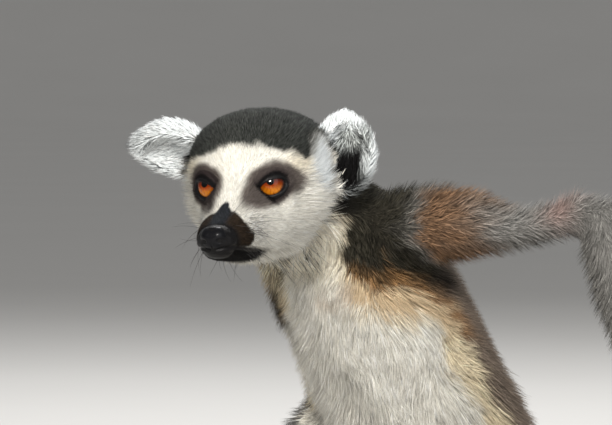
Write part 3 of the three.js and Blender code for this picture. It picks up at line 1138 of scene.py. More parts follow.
def put(name: str, mesh: bpy.types.Mesh, material: bpy.types.Material) -> bpy.types.Object:
    """Places a mesh in the scene under a material, riding on the model's one body.

    Args:
        name: The piece's name.
        mesh: Its mesh.
        material: Its finish.

    Returns:
        The new object.
    """
    mesh.name = name
    mesh.materials.clear()
    mesh.materials.append(material)
    piece = bpy.data.objects.new(name, mesh)
    bpy.context.scene.collection.objects.link(piece)
    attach(piece, "root")
    return piece


def shade_smooth(mesh: bpy.types.Mesh) -> None:
    """Makes every face shade smoothly."""
    mesh.polygons.foreach_set("use_smooth", np.ones(len(mesh.polygons), bool))


def order_faces(work: bmesh.types.BMesh) -> None:
    """Sorts the faces by their corners, as a new UV sphere lists its own differently each run."""
    work.verts.index_update()
    work.faces.sort(key=lambda face: np.dot(KEY_WEIGHTS, sorted(v.index for v in face.verts)[:3]))


def paint_points(mesh: bpy.types.Mesh, name: str, colour: Array) -> None:
    """Writes a colour to every vertex."""
    layer = mesh.color_attributes.new(name, "FLOAT_COLOR", "POINT")
    full = np.concatenate([colour, np.ones((len(colour), 1))], axis=1)
    layer.data.foreach_set("color", full.astype(np.float32).ravel())


def write_number(mesh: bpy.types.Mesh, name: str, values: Array) -> None:
    """Writes a number to every vertex."""
    layer = mesh.attributes.new(name, "FLOAT", "POINT")
    layer.data.foreach_set("value", values.astype(np.float32))


def write_vector(mesh: bpy.types.Mesh, name: str, values: Array) -> None:
    """Writes a vector to every vertex."""
    layer = mesh.attributes.new(name, "FLOAT_VECTOR", "POINT")
    layer.data.foreach_set("vector", values.astype(np.float32).ravel())


def move_points(mesh: bpy.types.Mesh, points: Array) -> None:
    """Moves every vertex of a mesh."""
    mesh.vertices.foreach_set("co", points.astype(np.float32).ravel())
    mesh.update()


# ---- The skin ----


@dataclass
class Skin:
    """One skin over the whole animal, below the solids' surface by the depth of the coat.

    Attributes:
        voxel: The size of the first mesh's cells, in metres.
        swell: How far each solid is swollen so that the gaps close.
        depths: The coat's depth over each part, in millimetres.
    """

    voxel: float = 0.0016
    swell: float = 0.0005
    depths: dict[Part, float] = field(
        default_factory=lambda: {
            Part.HEAD: 2.4,
            Part.EAR: 1.6,
            Part.NECK: 6.0,
            Part.TRUNK: 7.5,
            Part.UPPER_ARM: 4.5,
            Part.FOREARM: 3.5,
            Part.HAND: 0.8,
            Part.THIGH: 6.0,
            Part.SHANK: 4.0,
            Part.FOOT: 0.8,
            Part.TAIL: 9.5,
        }
    )

    def build(self, finder: NodeFinder) -> tuple[bpy.types.Object, Hide]:
        """Makes the skin.

        Args:
            finder: Tells which solid a point came from.

        Returns:
            The skin's object and its arrays.
        """
        mesh = self._thin(self._wrap(), finder)
        hide = Hide.of_mesh(mesh, finder)
        self._ease(hide)
        self._sink(hide)
        move_points(mesh, hide.points)
        mesh = self._refine(mesh)
        hide = Hide.of_mesh(mesh, finder)
        FaceSculptor().carve(hide)
        move_points(mesh, hide.points)
        shade_smooth(mesh)
        hide = Hide.of_mesh(mesh, finder)
        piece = put("skin", mesh, HideFinish().material())
        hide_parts(*FLESH)
        log.info("skin: %d vertices, %d triangles", len(hide.points), len(hide.triangles))
        return piece, hide

    def _wrap(self) -> bpy.types.Mesh:
        """Joins swollen copies of the solids under one skin of small cells."""
        joined = bmesh.new()
        for name in NODES:
            solid = bmesh.new()
            solid.from_mesh(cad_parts[name].data)
            bmesh.ops.remove_doubles(solid, verts=solid.verts, dist=1e-6)
            solid.normal_update()
            for vert in solid.verts:
                vert.co += vert.normal * self.swell
            copy = bpy.data.meshes.new("copy")
            solid.to_mesh(copy)
            joined.from_mesh(copy)
            bpy.data.meshes.remove(copy)
            solid.free()
        mesh = bpy.data.meshes.new("skin")
        joined.to_mesh(mesh)
        joined.free()
        return self._apply(mesh, "REMESH", mode="VOXEL", voxel_size=self.voxel)

    @staticmethod
    def _apply(
        mesh: bpy.types.Mesh, kind: str, weights: Array | None = None, **settings: object
    ) -> bpy.types.Mesh:
        """Runs one modifier over a mesh.

        Args:
            mesh: The mesh, which is used up.
            kind: The modifier's type.
            weights: A weight for each vertex, or None.
            **settings: The modifier's properties.

        Returns:
            The new mesh.
        """
        holder = bpy.data.objects.new("holder", mesh)
        bpy.context.scene.collection.objects.link(holder)
        modifier = holder.modifiers.new("work", kind)
        for name, value in settings.items():
            setattr(modifier, name, value)
        if weights is not None:
            group = holder.vertex_groups.new(name="thin")
            for level in range(11):
                members = np.flatnonzero(np.round(weights * 10.0) == level)
                group.add(members.tolist(), level / 10.0, "REPLACE")
            modifier.vertex_group = "thin"
        shown = holder.evaluated_get(bpy.context.evaluated_depsgraph_get())
        made = bpy.data.meshes.new_from_object(shown)
        bpy.data.objects.remove(holder)
        bpy.data.meshes.remove(mesh)
        return made

    def _thin(self, mesh: bpy.types.Mesh, finder: NodeFinder) -> bpy.types.Mesh:
        """Gives the plain parts of the body fewer faces than the face, ears, hands and feet."""
        hide = Hide.of_mesh(mesh, finder)
        fine = hide.on(Part.HEAD, Part.EAR, Part.HAND, Part.FOOT)
        plain = 1.0 - hide.spread(fine, 4)
        return self._apply(mesh, "DECIMATE", plain, ratio=0.52, vertex_group_factor=1.0)

    def _ease(self, hide: Hide) -> None:
        """Rounds the joins of the solids, hardly touching fingers, ears and face."""
        keen = 0.15 * hide.on(Part.HAND, Part.FOOT, Part.EAR)
        soft = hide.spread(np.where(keen > 0.0, keen, 1.0 - 0.65 * hide.on(Part.HEAD)), 3)
        hide.smooth(soft, 14)

    def _sink(self, hide: Hide) -> None:
        """Draws the surface in by the coat's depth.

        Args:
            hide: The skin's points, moved in place.
        """
        depth = np.zeros(len(hide.points))
        for part, value in self.depths.items():
            depth += value * hide.on(part)
        depth = hide.spread(depth, 24)
        depth = np.minimum(depth, np.where(hide.on(Part.HAND, Part.FOOT) > 0, 1.0, 99.0))
        depth = np.minimum(depth, np.where(hide.on(Part.EAR) > 0, self.depths[Part.EAR], 99.0))
        on_head = hide.on(Part.HEAD)
        local = HEAD.inward(hide.points)
        growth = head_growth(local)
        sides = smoothstep(17.0, 27.0, np.abs(local[:, 1])) * (1.0 - smoothstep(6.0, 16.0, local[:, 2]))
        wanted = 0.62 * growth * self.depths[Part.HEAD] + 2.6 * sides
        depth += hide.spread(on_head * (wanted - self.depths[Part.HEAD]), 6)
        depth = np.maximum(depth, 0.4)
        normals = unit(hide.spread(hide.normals, 3))
        hide.points = hide.points - normals * (depth * MM)[:, None]
        breast = hide.on(Part.TRUNK, Part.NECK) * (TRUNK.round_angle(hide.points) < 90.0)
        lumps = ripple(hide.points * [1.0, 1.0, 0.55], 0.017, 31) * hide.spread(breast, 8)
        hide.points = hide.points + normals * (1.1 * MM * lumps)[:, None]
        floor = np.minimum(hide.points[:, 2], 0.0)
        hide.points[:, 2] -= floor
        hide.smooth(0.5 * (1.0 - hide.on(Part.HAND, Part.FOOT, Part.EAR, Part.HEAD)), 4)

    def _refine(self, mesh: bpy.types.Mesh) -> bpy.types.Mesh:
        """Cuts the face's cells in four, and those round the eyes in four again.

        Args:
            mesh: The skin's mesh, changed in place.

        Returns:
            The same mesh.
        """
        work = bmesh.new()
        work.from_mesh(mesh)
        bmesh.ops.triangulate(work, faces=work.faces)
        for round_eyes in (False, True):
            local = HEAD.inward(np.array([vert.co for vert in work.verts]))
            wanted = (local[:, 0] > -12.0) & (np.abs(local[:, 1]) < 30.0)
            wanted &= (local[:, 2] > -34.0) & (local[:, 2] < 22.0)
            if round_eyes:
                gaps = [np.linalg.norm(local - EYES.middle(side), axis=1) for side in Side]
                wanted = (np.min(gaps, axis=0) < 12.5) & (local[:, 0] > EYES.forward)
            work.edges.ensure_lookup_table()
            work.verts.index_update()
            edges = [e for e in work.edges if wanted[e.verts[0].index] and wanted[e.verts[1].index]]
            bmesh.ops.subdivide_edges(work, edges=edges, cuts=1, smooth=0.0)
            bmesh.ops.triangulate(work, faces=[f for f in work.faces if len(f.verts) > 3])
        work.to_mesh(mesh)
        work.free()
        return mesh


@dataclass
class FaceSculptor:
    """Carves lids, mouth and muzzle into the skin, in the head's frame and millimetres.

    Attributes:
        lid: How thick the lids are.
        tuck: How far the skin goes behind the eyeball inside the opening.
        fold: How deep the fold above the lids is.
        lip: How deep the line of the mouth is.
    """

    lid: float = 0.95
    tuck: float = 1.6
    fold: float = 0.35
    lip: float = 1.3

    def carve(self, hide: Hide) -> None:
        """Carves the mouth and lids, then eases the loose skin round the eyes.

        Args:
            hide: The skin's points, moved in place.
        """
        local = HEAD.inward(hide.points)
        normals = unit(hide.normals @ HEAD.axes)
        head = hide.on(Part.HEAD)
        self._mouth(local, normals, head)
        for side in Side:
            self._lids(local, side, head)
        hide.points = HEAD.outward(local)
        for side in Side:
            edge, halo, distance, _ = eye_reading(HEAD.inward(hide.points), side)
            loose = np.maximum(smoothstep(1.25, 1.6, edge), smoothstep(9.9, 10.8, distance))
            loose *= head * (distance < 24.0) * (1.0 - smoothstep(13.0, 17.0, halo))
            for _ in range(50):
                pull = hide.average(hide.points) - hide.points
                hide.points = hide.points + 0.5 * loose[:, None] * pull

    def _mouth(self, local: Array, normals: Array, head: Array) -> None:
        """Cuts the mouth's line round the muzzle and swells the whisker beds above it.

        Args:
            local: The skin's points in the head's frame, moved in place.
            normals: Their normals in that frame.
            head: One on the head, and zero elsewhere.
        """
        x, y, z = local.T.copy()
        out = np.abs(y)
        line = mouth_line(x)
        reach = smoothstep(2.0, 7.0, x) * head * (normals[:, 2] < 0.85)
        crease = np.exp(-(((z - line) / 0.75) ** 2)) * reach * (out > 1.0)
        local -= normals * (self.lip * crease)[:, None]
        bed = np.exp(-(((x - 22.0) / 7.0) ** 2 + ((z - line - 6.0) / 4.5) ** 2)) * head
        local += normals * (0.8 * bed * smoothstep(3.0, 7.0, out))[:, None]
        lower = np.exp(-(((z - line + 2.2) / 1.4) ** 2)) * reach
        local -= normals * (0.5 * lower)[:, None]

    def _lids(self, local: Array, side: Side, head: Array) -> None:
        """Wraps the skin over the eyeball, with an almond opening.

        Args:
            local: The skin's points in the head's frame, moved in place.
            side: Which eye.
            head: One on the head, and zero elsewhere.
        """
        edge, halo, distance, aim = eye_reading(local, side)
        radius = EYES.radius
        close = head * (1.0 - smoothstep(13.5, 20.0, distance))
        near = np.maximum(1.0 - smoothstep(6.0, 10.5, halo), edge < 1.15) * close
        over = radius + self.lid + 0.35 * smoothstep(3.5, 5.0, halo)
        over -= self.fold * np.exp(-(((halo - 5.9) / 0.5) ** 2)) * (aim[:, 2] > 0.0)
        margin = smoothstep(0.86, 1.08, edge)
        wanted = radius - self.tuck + (over - radius + self.tuck) * margin
        blended = distance + near * (wanted - distance)
        lowest = np.where(edge < 1.08, 0.0, radius + 0.5)
        blended = np.where((distance < 15.0) & (halo < 14.0), np.maximum(blended, lowest), blended)
        local += aim * (head * (halo < 25.0) * (blended - distance))[:, None]


def mouth_line(x: Array) -> Array:
    """The height of the mouth's line at each place along the head."""
    return -19.0 - 0.25 * np.clip(35.0 - x, 0.0, 40.0)


# ---- Eyes, nose, nails, whiskers ----


@dataclass
class Eyeball:
    """An eyeball with its bulging cornea."""

    side: Side
    bulge: float = 0.7
    rings: int = 96
    segments: int = 128

    def build(self, material: bpy.types.Material) -> bpy.types.Object:
        """Makes the eyeball.

        Args:
            material: Its finish.

        Returns:
            The piece.
        """
        ball = bmesh.new()
        bmesh.ops.create_uvsphere(
            ball, u_segments=self.segments, v_segments=self.rings, radius=EYES.radius
        )
        order_faces(ball)
        mesh = bpy.data.meshes.new("eye")
        ball.to_mesh(mesh)
        ball.free()
        points = read(mesh.vertices, "co", 3)
        across, height, ahead = points.T
        ring = np.degrees(np.arccos(np.clip(ahead / EYES.radius, -1.0, 1.0)))
        swell = self.bulge * (1.0 - smoothstep(18.0, 44.0, ring))
        points = points * (1.0 + swell / EYES.radius)[:, None]
        gaze = EYES.gaze(self.side)
        outwards = unit(np.cross([0.0, 0.0, 1.0], gaze))
        upwards = np.cross(gaze, outwards)
        turned = points @ np.stack([outwards, upwards, gaze]) + EYES.middle(self.side)
        move_points(mesh, HEAD.outward(turned))
        write_vector(mesh, "Gaze", np.stack([across, height, ahead], axis=1))
        shade_smooth(mesh)
        name = f"eyeball_{self.side.word}"
        piece = put(name, mesh, material)
        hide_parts(f"eye_{self.side.word}")
        log.info("%s: %d faces", name, len(mesh.polygons))
        return piece


@dataclass
class NosePad:
    """The bare nose with its comma-shaped nostrils."""

    middle: tuple[float, float, float] = (37.4, 0.0, -14.8)
    half: tuple[float, float, float] = (4.7, 6.0, 5.1)

    def build(self) -> bpy.types.Object:
        """Makes the nose."""
        pad = bmesh.new()
        bmesh.ops.create_icosphere(pad, subdivisions=6, radius=1.0)
        mesh = bpy.data.meshes.new("nose")
        pad.to_mesh(mesh)
        pad.free()
        aim = unit(read(mesh.vertices, "co", 3))
        x, y, z = aim.T
        out = np.abs(y)
        radius = np.ones(len(aim))
        radius += 0.10 * bump(0.55, 0.5, out) * smoothstep(-0.2, 0.5, z) * (x > 0.0)
        nostril = np.exp(-(((out - 0.60) / 0.15) ** 2 + ((z + 0.10) / 0.13) ** 2)) * (x > 0.0)
        slit_line = -0.12 + 0.35 * (out - 0.6)
        slit = np.exp(-(((z - slit_line) / 0.055) ** 2)) * smoothstep(0.58, 0.72, out)
        slit *= smoothstep(-0.45, 0.0, x)
        groove = np.exp(-((y / 0.055) ** 2)) * smoothstep(0.1, -0.3, z) * (x > 0.0)
        radius -= 0.34 * nostril + 0.20 * slit * (1.0 - nostril) + 0.07 * groove
        points = aim * radius[:, None] * np.array(self.half) + np.array(self.middle)
        move_points(mesh, HEAD.outward(points))
        shade_smooth(mesh)
        piece = put("nose_pad", mesh, LeatherFinish().material())
        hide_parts("nose")
        log.info("nose_pad: %d faces", len(mesh.polygons))
        return piece


# ---- The coat ----


@dataclass
class Tufts:
    """Hair locks as arrays, one row to each.

    Attributes:
        root: Where each grows from.
        normal: The skin's normal there.
        lie: The way the hair lies, along the skin.
        length: In metres.
        width: In metres.
        lift: How steeply each leaves the skin, in radians.
        colour: Linear colour of each.
        patch: The root's place on the skin's unwrap.
    """

    root: Array
    normal: Array
    lie: Array
    length: Array
    width: Array
    lift: Array
    colour: Array
    patch: Array

    # Painted shade at each lock's root: ROOT_SHADE darkens the three root corners, and ROOT_LIFT gives pale
    # locks less of it. TIP_SHADE makes the tips lighter.
    ROOT_SHADE = 0.62
    ROOT_LIFT = 0.32
    TIP_SHADE = 1.12
    PATCH = 0.003

    def mesh(self, name: str, bent: bool, clump: Array) -> bpy.types.Mesh:
        """Makes one mesh of all the locks, each a closed three-sided cone.

        Args:
            name: The mesh's name.
            bent: Whether each lock curves over, in two lengths.
            clump: How far each tip is moved to join its neighbours, in metres.

        Returns:
            The mesh, coloured and unwrapped.
        """
        count = len(self.root)
        along, up = self.lie, self.normal
        sine, cosine = np.sin(self.lift)[:, None], np.cos(self.lift)[:, None]
        length = self.length[:, None]
        start = self.root - up * (0.0004 + 0.04 * length)
        first = cosine * along + sine * up
        later = unit(along + 0.7 * sine * up)
        tip = self.root + length * (0.45 * first + 0.55 * later) + clump
        elbow = self.root + 0.5 * length * first + 0.25 * clump
        across = unit(np.cross(up, along))
        half = 0.5 * self.width[:, None]
        ridge = unit(np.cross(first, across))
        rows = [start + across * half, start + ridge * half * 0.9, start - across * half]
        if bent:
            rows += [
                elbow + across * half * 0.85,
                elbow + ridge * half * 0.8,
                elbow - across * half * 0.85,
            ]
        rows.append(tip)
        size = len(rows)
        points = np.stack(rows, axis=1).reshape(-1, 3)
        pattern = self._faces(bent)
        corners = (np.arange(count)[:, None, None] * size + pattern[None]).reshape(-1)
        mesh = bpy.data.meshes.new(name)
        mesh.vertices.add(len(points))
        mesh.vertices.foreach_set("co", points.astype(np.float32).ravel())
        faces = count * len(pattern)
        mesh.loops.add(faces * 3)
        mesh.loops.foreach_set("vertex_index", corners.astype(np.int32))
        mesh.polygons.add(faces)
        mesh.polygons.foreach_set("loop_start", np.arange(faces, dtype=np.int32) * 3)
        mesh.update(calc_edges=True)
        shade_smooth(mesh)
        # Painted shade at the root of each lock, less on pale locks, and a lighter tip.
        pale = np.clip(self.colour.mean(axis=1), 0.0, 1.0)
        shades = np.ones((count, size))
        shades[:, :3] = (self.ROOT_SHADE + self.ROOT_LIFT * pale)[:, None]
        shades[:, -1] = self.TIP_SHADE
        paint = self.colour[:, None, :] * shades[..., None]
        paint_points(mesh, "Coat", np.clip(paint, 0.0, 1.0).reshape(-1, 3))
        self._unwrap(mesh, size, bent, corners)
        own = read(mesh.vertex_normals, "vector", 3)
        soft = unit(0.45 * own + 0.55 * np.repeat(up, size, axis=0))
        mesh.normals_split_custom_set_from_vertices(soft.tolist())
        return mesh

    @staticmethod
    def _faces(bent: bool) -> Array:
        """Lists the faces of one lock.

        Args:
            bent: Whether the lock has a ring of corners partway up.

        Returns:
            The corners of each face, by their places in the lock.
        """
        if not bent:
            return np.array([[0, 1, 3], [1, 2, 3], [2, 0, 3], [0, 2, 1]])
        sides = []
        for here, there in ((0, 1), (1, 2), (2, 0)):
            sides += [[here, there, there + 3], [here, there + 3, here + 3], [here + 3, there + 3, 6]]
        return np.array(sides + [[0, 2, 1]])

    def _unwrap(self, mesh: bpy.types.Mesh, size: int, bent: bool, corners: Array) -> None:
        """Gives each lock a small patch at its root's place on the skin's unwrap.

        Args:
            mesh: The locks' mesh.
            size: How many vertices a lock has; not used.
            bent: Whether each lock is in two lengths.
            corners: The vertex of each corner of the faces.
        """
        sides = np.array([-0.5, 0.0, 0.5])
        heights = [0.0, 0.5] if bent else [0.0]
        spots = [(side, height - 0.5) for height in heights for side in sides] + [(0.0, 0.5)]
        offset = np.array(spots) * self.PATCH
        places = (self.patch[:, None, :] + offset[None]).reshape(-1, 2)
        layer = mesh.uv_layers.new(name="OFBake")
        layer.data.foreach_set("uv", places[corners].astype(np.float32).ravel())


@dataclass(frozen=True)
class CoatStyle:
    """How the hair grows over one stretch of the body.

    Attributes:
        name: The piece's name.
        parts: The parts it covers.
        count: How many locks.
        length: A lock's length, in millimetres.
        width: Its width.
        lift: How steeply it leaves the skin, in degrees.
        bent: Whether the locks curve over.
        clumps: How many clumps the locks gather in.
        gather: How far each tip goes towards its clump's.
        slot: A material slot's name; not used.
        where: Picks a share of the parts, by place, or None for all.
        rough: How much direction and length vary.
        swirl: How much the hair's lie wanders.
        depth: How much darker a clump's sides are than its middle, as painted shade between clumps.
    """

    name: str
    parts: tuple[Part, ...]
    count: int
    length: float
    width: float
    lift: float
    bent: bool = True
    clumps: int = 1500
    gather: float = 0.35
    slot: str = "coat_grey"
    where: Callable[[Array], Array] | None = None
    rough: float = 0.2
    swirl: float = 0.06
    depth: float = 0.25


def head_growth(local: Array) -> Array:
    """How long hair is over the head, as a factor.

    Args:
        local: Places in the head's frame.

    Returns:
        A factor near 0.4 on the muzzle, one on the forehead and over two on cheeks and nape.
    """
    x, y, z = local.T
    out = np.abs(y)
    muzzle = smoothstep(7.0, 20.0, x)
    eyes = np.zeros(len(local))
    for side in Side:
        gap = np.linalg.norm(local - EYES.middle(side), axis=1)
        eyes = np.maximum(eyes, 1.0 - smoothstep(10.0, 17.0, gap))
    cheek = smoothstep(17.0, 28.0, out) * (1.0 - smoothstep(-8.0, 6.0, x))
    cheek *= 1.0 - smoothstep(-4.0, 10.0, z)
    under = (1.0 - smoothstep(-26.0, -16.0, z)) * (1.0 - smoothstep(-6.0, 6.0, x))
    nape = 1.0 - smoothstep(-44.0, -22.0, x)
    cap = smoothstep(10.0, 18.0, z + 0.011 * out**2) * smoothstep(-44.0, -30.0, x)
    nape *= 1.0 - smoothstep(6.0, 14.0, z)
    tuft = np.max([ear.tuft(local) for ear in EARS], axis=0)
    long = np.max([1.5 * cheek, 1.1 * under, 0.35 * nape, 1.3 * tuft], axis=0) - 0.3 * cap
    return (1.0 + long) * (1.0 - 0.5 * muzzle) * (1.0 - 0.45 * eyes)


@dataclass
class Coat:
    """Grows the coat over the skin.

    Attributes:
        hide: The skin's arrays.
        unwrap: The skin's unwrap, a place to each corner of each triangle.
        lie: The way the hair lies at each of the skin's vertices.
        markings: The painter.
    """

    hide: Hide
    unwrap: Array
    lie: Array
    bare: Array
    markings: Markings
    seed: int = 11

    def grow(self, style: CoatStyle) -> bpy.types.Object:
        """Grows one piece.

        Args:
            style: What the piece covers and how its hair grows.

        Returns:
            The piece.
        """
        rng = np.random.default_rng(self.seed + sum(map(ord, style.name)))
        hide = self.hide
        weight = hide.on(*style.parts)
        if style.where is not None:
            weight = weight * style.where(hide.points)
        keep = weight[hide.triangles].mean(axis=1) * (1.0 - self.bare[hide.triangles].mean(axis=1))
        corners = hide.points[hide.triangles]
        density, length_map, width_map, lift_map = self.growth()
        share = triangle_areas(corners) * keep * density[hide.triangles].mean(axis=1)
        root, picked, shares = scatter(corners, share, style.count, rng)
        tri = hide.triangles[picked]

        def blend(values: Array) -> Array:
            """A vertex quantity at each root."""
            return np.einsum("ij,ij...->i...", shares, values[tri])

        normal = unit(blend(hide.normals))
        swirl = np.stack([ripple(root, 0.035, seed) for seed in (21, 22, 23)], axis=1)
        lie = blend(self.lie) + rng.normal(size=(style.count, 3)) * 0.5 * style.rough
        lie += style.swirl * swirl
        lie = unit(lie - (lie * normal).sum(axis=1, keepdims=True) * normal)
        owner = hide.node[tri[np.arange(len(tri)), np.argmax(shares, axis=1)]]
        vary = 1.0 + style.rough * rng.normal(size=style.count)
        length = style.length * MM * blend(length_map) * np.clip(vary, 0.6, 1.3)
        width = style.width * MM * blend(width_map) * rng.uniform(0.75, 1.25, style.count)
        lift = np.radians(style.lift) * blend(lift_map) * rng.uniform(0.7, 1.35, style.count)
        shown = root + lie * (0.8 * length * np.cos(lift))[:, None]
        colour, pepper = self.markings.paint(shown, owner, normal)
        tone = 1.0 + pepper * rng.normal(size=style.count) * 1.3
        tone *= 1.0 + 0.05 * rng.normal(size=style.count)
        dark = (rng.random(style.count) < pepper * 0.5) * pepper
        tone = np.clip(tone * (1.0 - 1.2 * dark), 0.25, 2.2)
        colour = colour * tone[:, None]
        sunk = np.minimum(root[:, 2] - 0.0012, 0.0)
        length = np.where(root[:, 2] < 0.006, length * 0.5, length)
        lie = self._off_the_floor(root, lie, normal)
        patch = np.einsum("ij,ijk->ik", shares, self.unwrap[picked])
        tufts = Tufts(root - sunk[:, None] * [0, 0, 1], normal, lie, length, width, lift, colour, patch)
        clump, apart = self._gather(tufts, style, rng)
        # Painted shade between clumps: locks at a clump's side are darkened and those in its middle
        # lightened.
        tufts.colour = tufts.colour * (1.0 + style.depth * (0.35 - apart))[:, None]
        mesh = tufts.mesh(style.name, style.bent, clump)
        points = read(mesh.vertices, "co", 3)
        points[:, 2] = np.maximum(points[:, 2], 0.0002)
        move_points(mesh, points)
        piece = put(style.name, mesh, HairFinish(f"hair_{style.name}").material())
        log.info("%s: %d locks, %d triangles", style.name, style.count, len(mesh.polygons))
        return piece

    @staticmethod
    def _off_the_floor(root: Array, lie: Array, normal: Array) -> Array:
        """Turns hair that would go into the floor along it."""
        low = 1.0 - smoothstep(0.004, 0.02, root[:, 2])
        lie = lie.copy()
        lie[:, 2] = np.where(lie[:, 2] < 0.0, lie[:, 2] * (1.0 - low), lie[:, 2])
        return unit(lie)

    @staticmethod
    def _gather(
        tufts: Tufts, style: CoatStyle, rng: np.random.Generator
    ) -> tuple[Array, Array]:
        """How far each lock's tip moves to meet its clump's.

        Args:
            tufts: The locks.
            style: How strongly they gather.
            rng: Source of randomness.

        Returns:
            A move for each tip, in metres, and how far out in its clump each lock is, from 0 to 1.
        """
        count = len(tufts.root)
        lead = rng.choice(count, min(style.clumps, count), replace=False)
        tree = KDTree(len(lead))
        for place, index in enumerate(lead):
            tree.insert(tufts.root[index], int(index))
        tree.balance()
        found = [tree.find(point) for point in tufts.root]
        chief = np.array([item[1] for item in found])
        apart = np.array([item[2] for item in found])
        apart = np.clip(apart / (2.0 * np.median(apart)), 0.0, 1.0)
        reach = 0.9 * tufts.length[:, None]
        own = tufts.root + tufts.lie * reach
        shared = tufts.root[chief] + tufts.lie[chief] * 0.9 * tufts.length[chief][:, None]
        move = style.gather * (shared - own)
        size = np.linalg.norm(move, axis=1, keepdims=True)
        move = move * np.minimum(1.0, 0.45 * tufts.length[:, None] / np.maximum(size, 1e-9))
        lean = (move * tufts.normal).sum(axis=1, keepdims=True)
        return move - np.minimum(lean, 0.0) * tufts.normal, apart

    def growth(self) -> tuple[Array, Array, Array, Array]:
        """How hair differs over the body, as factors on density, length, width and lift."""
        hide = self.hide
        local = HEAD.inward(hide.points)
        count = len(local)
        density, length, width, lift = (np.ones(count) for _ in range(4))
        head = hide.on(Part.HEAD)
        grown = head_growth(local)
        grown = grown + (np.minimum(grown, 1.0) - grown) * smoothstep(32.0, 40.0, -local[:, 0])
        length = np.where(head > 0, grown, length)
        width = np.where(head > 0, 0.75 + 0.25 * grown, width)
        density = np.where(head > 0, 1.5 / (0.5 + grown), density)
        lift = np.where(head > 0, 0.6 + 0.4 * np.clip(grown, 0.0, 1.4), lift)
        throat = hide.on(Part.NECK, Part.TRUNK) * (1.0 - smoothstep(-0.115, -0.075, hide.points[:, 1]))
        length *= 1.0 - 0.25 * throat
        high = smoothstep(0.194, 0.208, hide.points[:, 2]) * hide.on(Part.NECK, Part.TRUNK)
        length *= 1.0 - 0.45 * high
        angle = TRUNK.round_angle(hide.points)
        none = np.zeros(count)
        margin = breast_reading(hide.points, angle, none, none)[0]
        velvet = (1.0 - smoothstep(-7.0, 5.0, margin)) * smoothstep(0.140, 0.158, hide.points[:, 2])
        velvet *= hide.on(Part.TRUNK, Part.NECK) * (angle < 84.0)
        length *= 1.0 - 0.58 * velvet
        width *= 1.0 - 0.25 * velvet
        lift *= 1.0 + 0.5 * velvet
        cuff = hide.spread(hide.on(Part.HAND, Part.FOOT), 30)
        cuff *= hide.on(Part.FOREARM, Part.SHANK)
        length *= 1.0 - 0.9 * np.clip(cuff * 1.6, 0.0, 0.72)
        for ear in EARS:
            here = hide.on(Part.EAR) * (hide.node == NODES.index(f"ear_{ear.side.word}"))
            along, inside, _ = ear.reading(hide.points, hide.normals)
            rim = smoothstep(0.5, 0.9, along)
            shag = 0.0 if ear.side is Side.LEFT else 0.75
            length *= 1.0 + here * (0.2 * inside * (1.0 - rim) - (0.35 - shag) * rim)
            density *= 1.0 - (0.45 - 0.6 * shag) * here * inside
            lift *= 1.0 + 0.5 * here * inside
        return hide.spread(density, 2), hide.spread(length, 2), width, lift


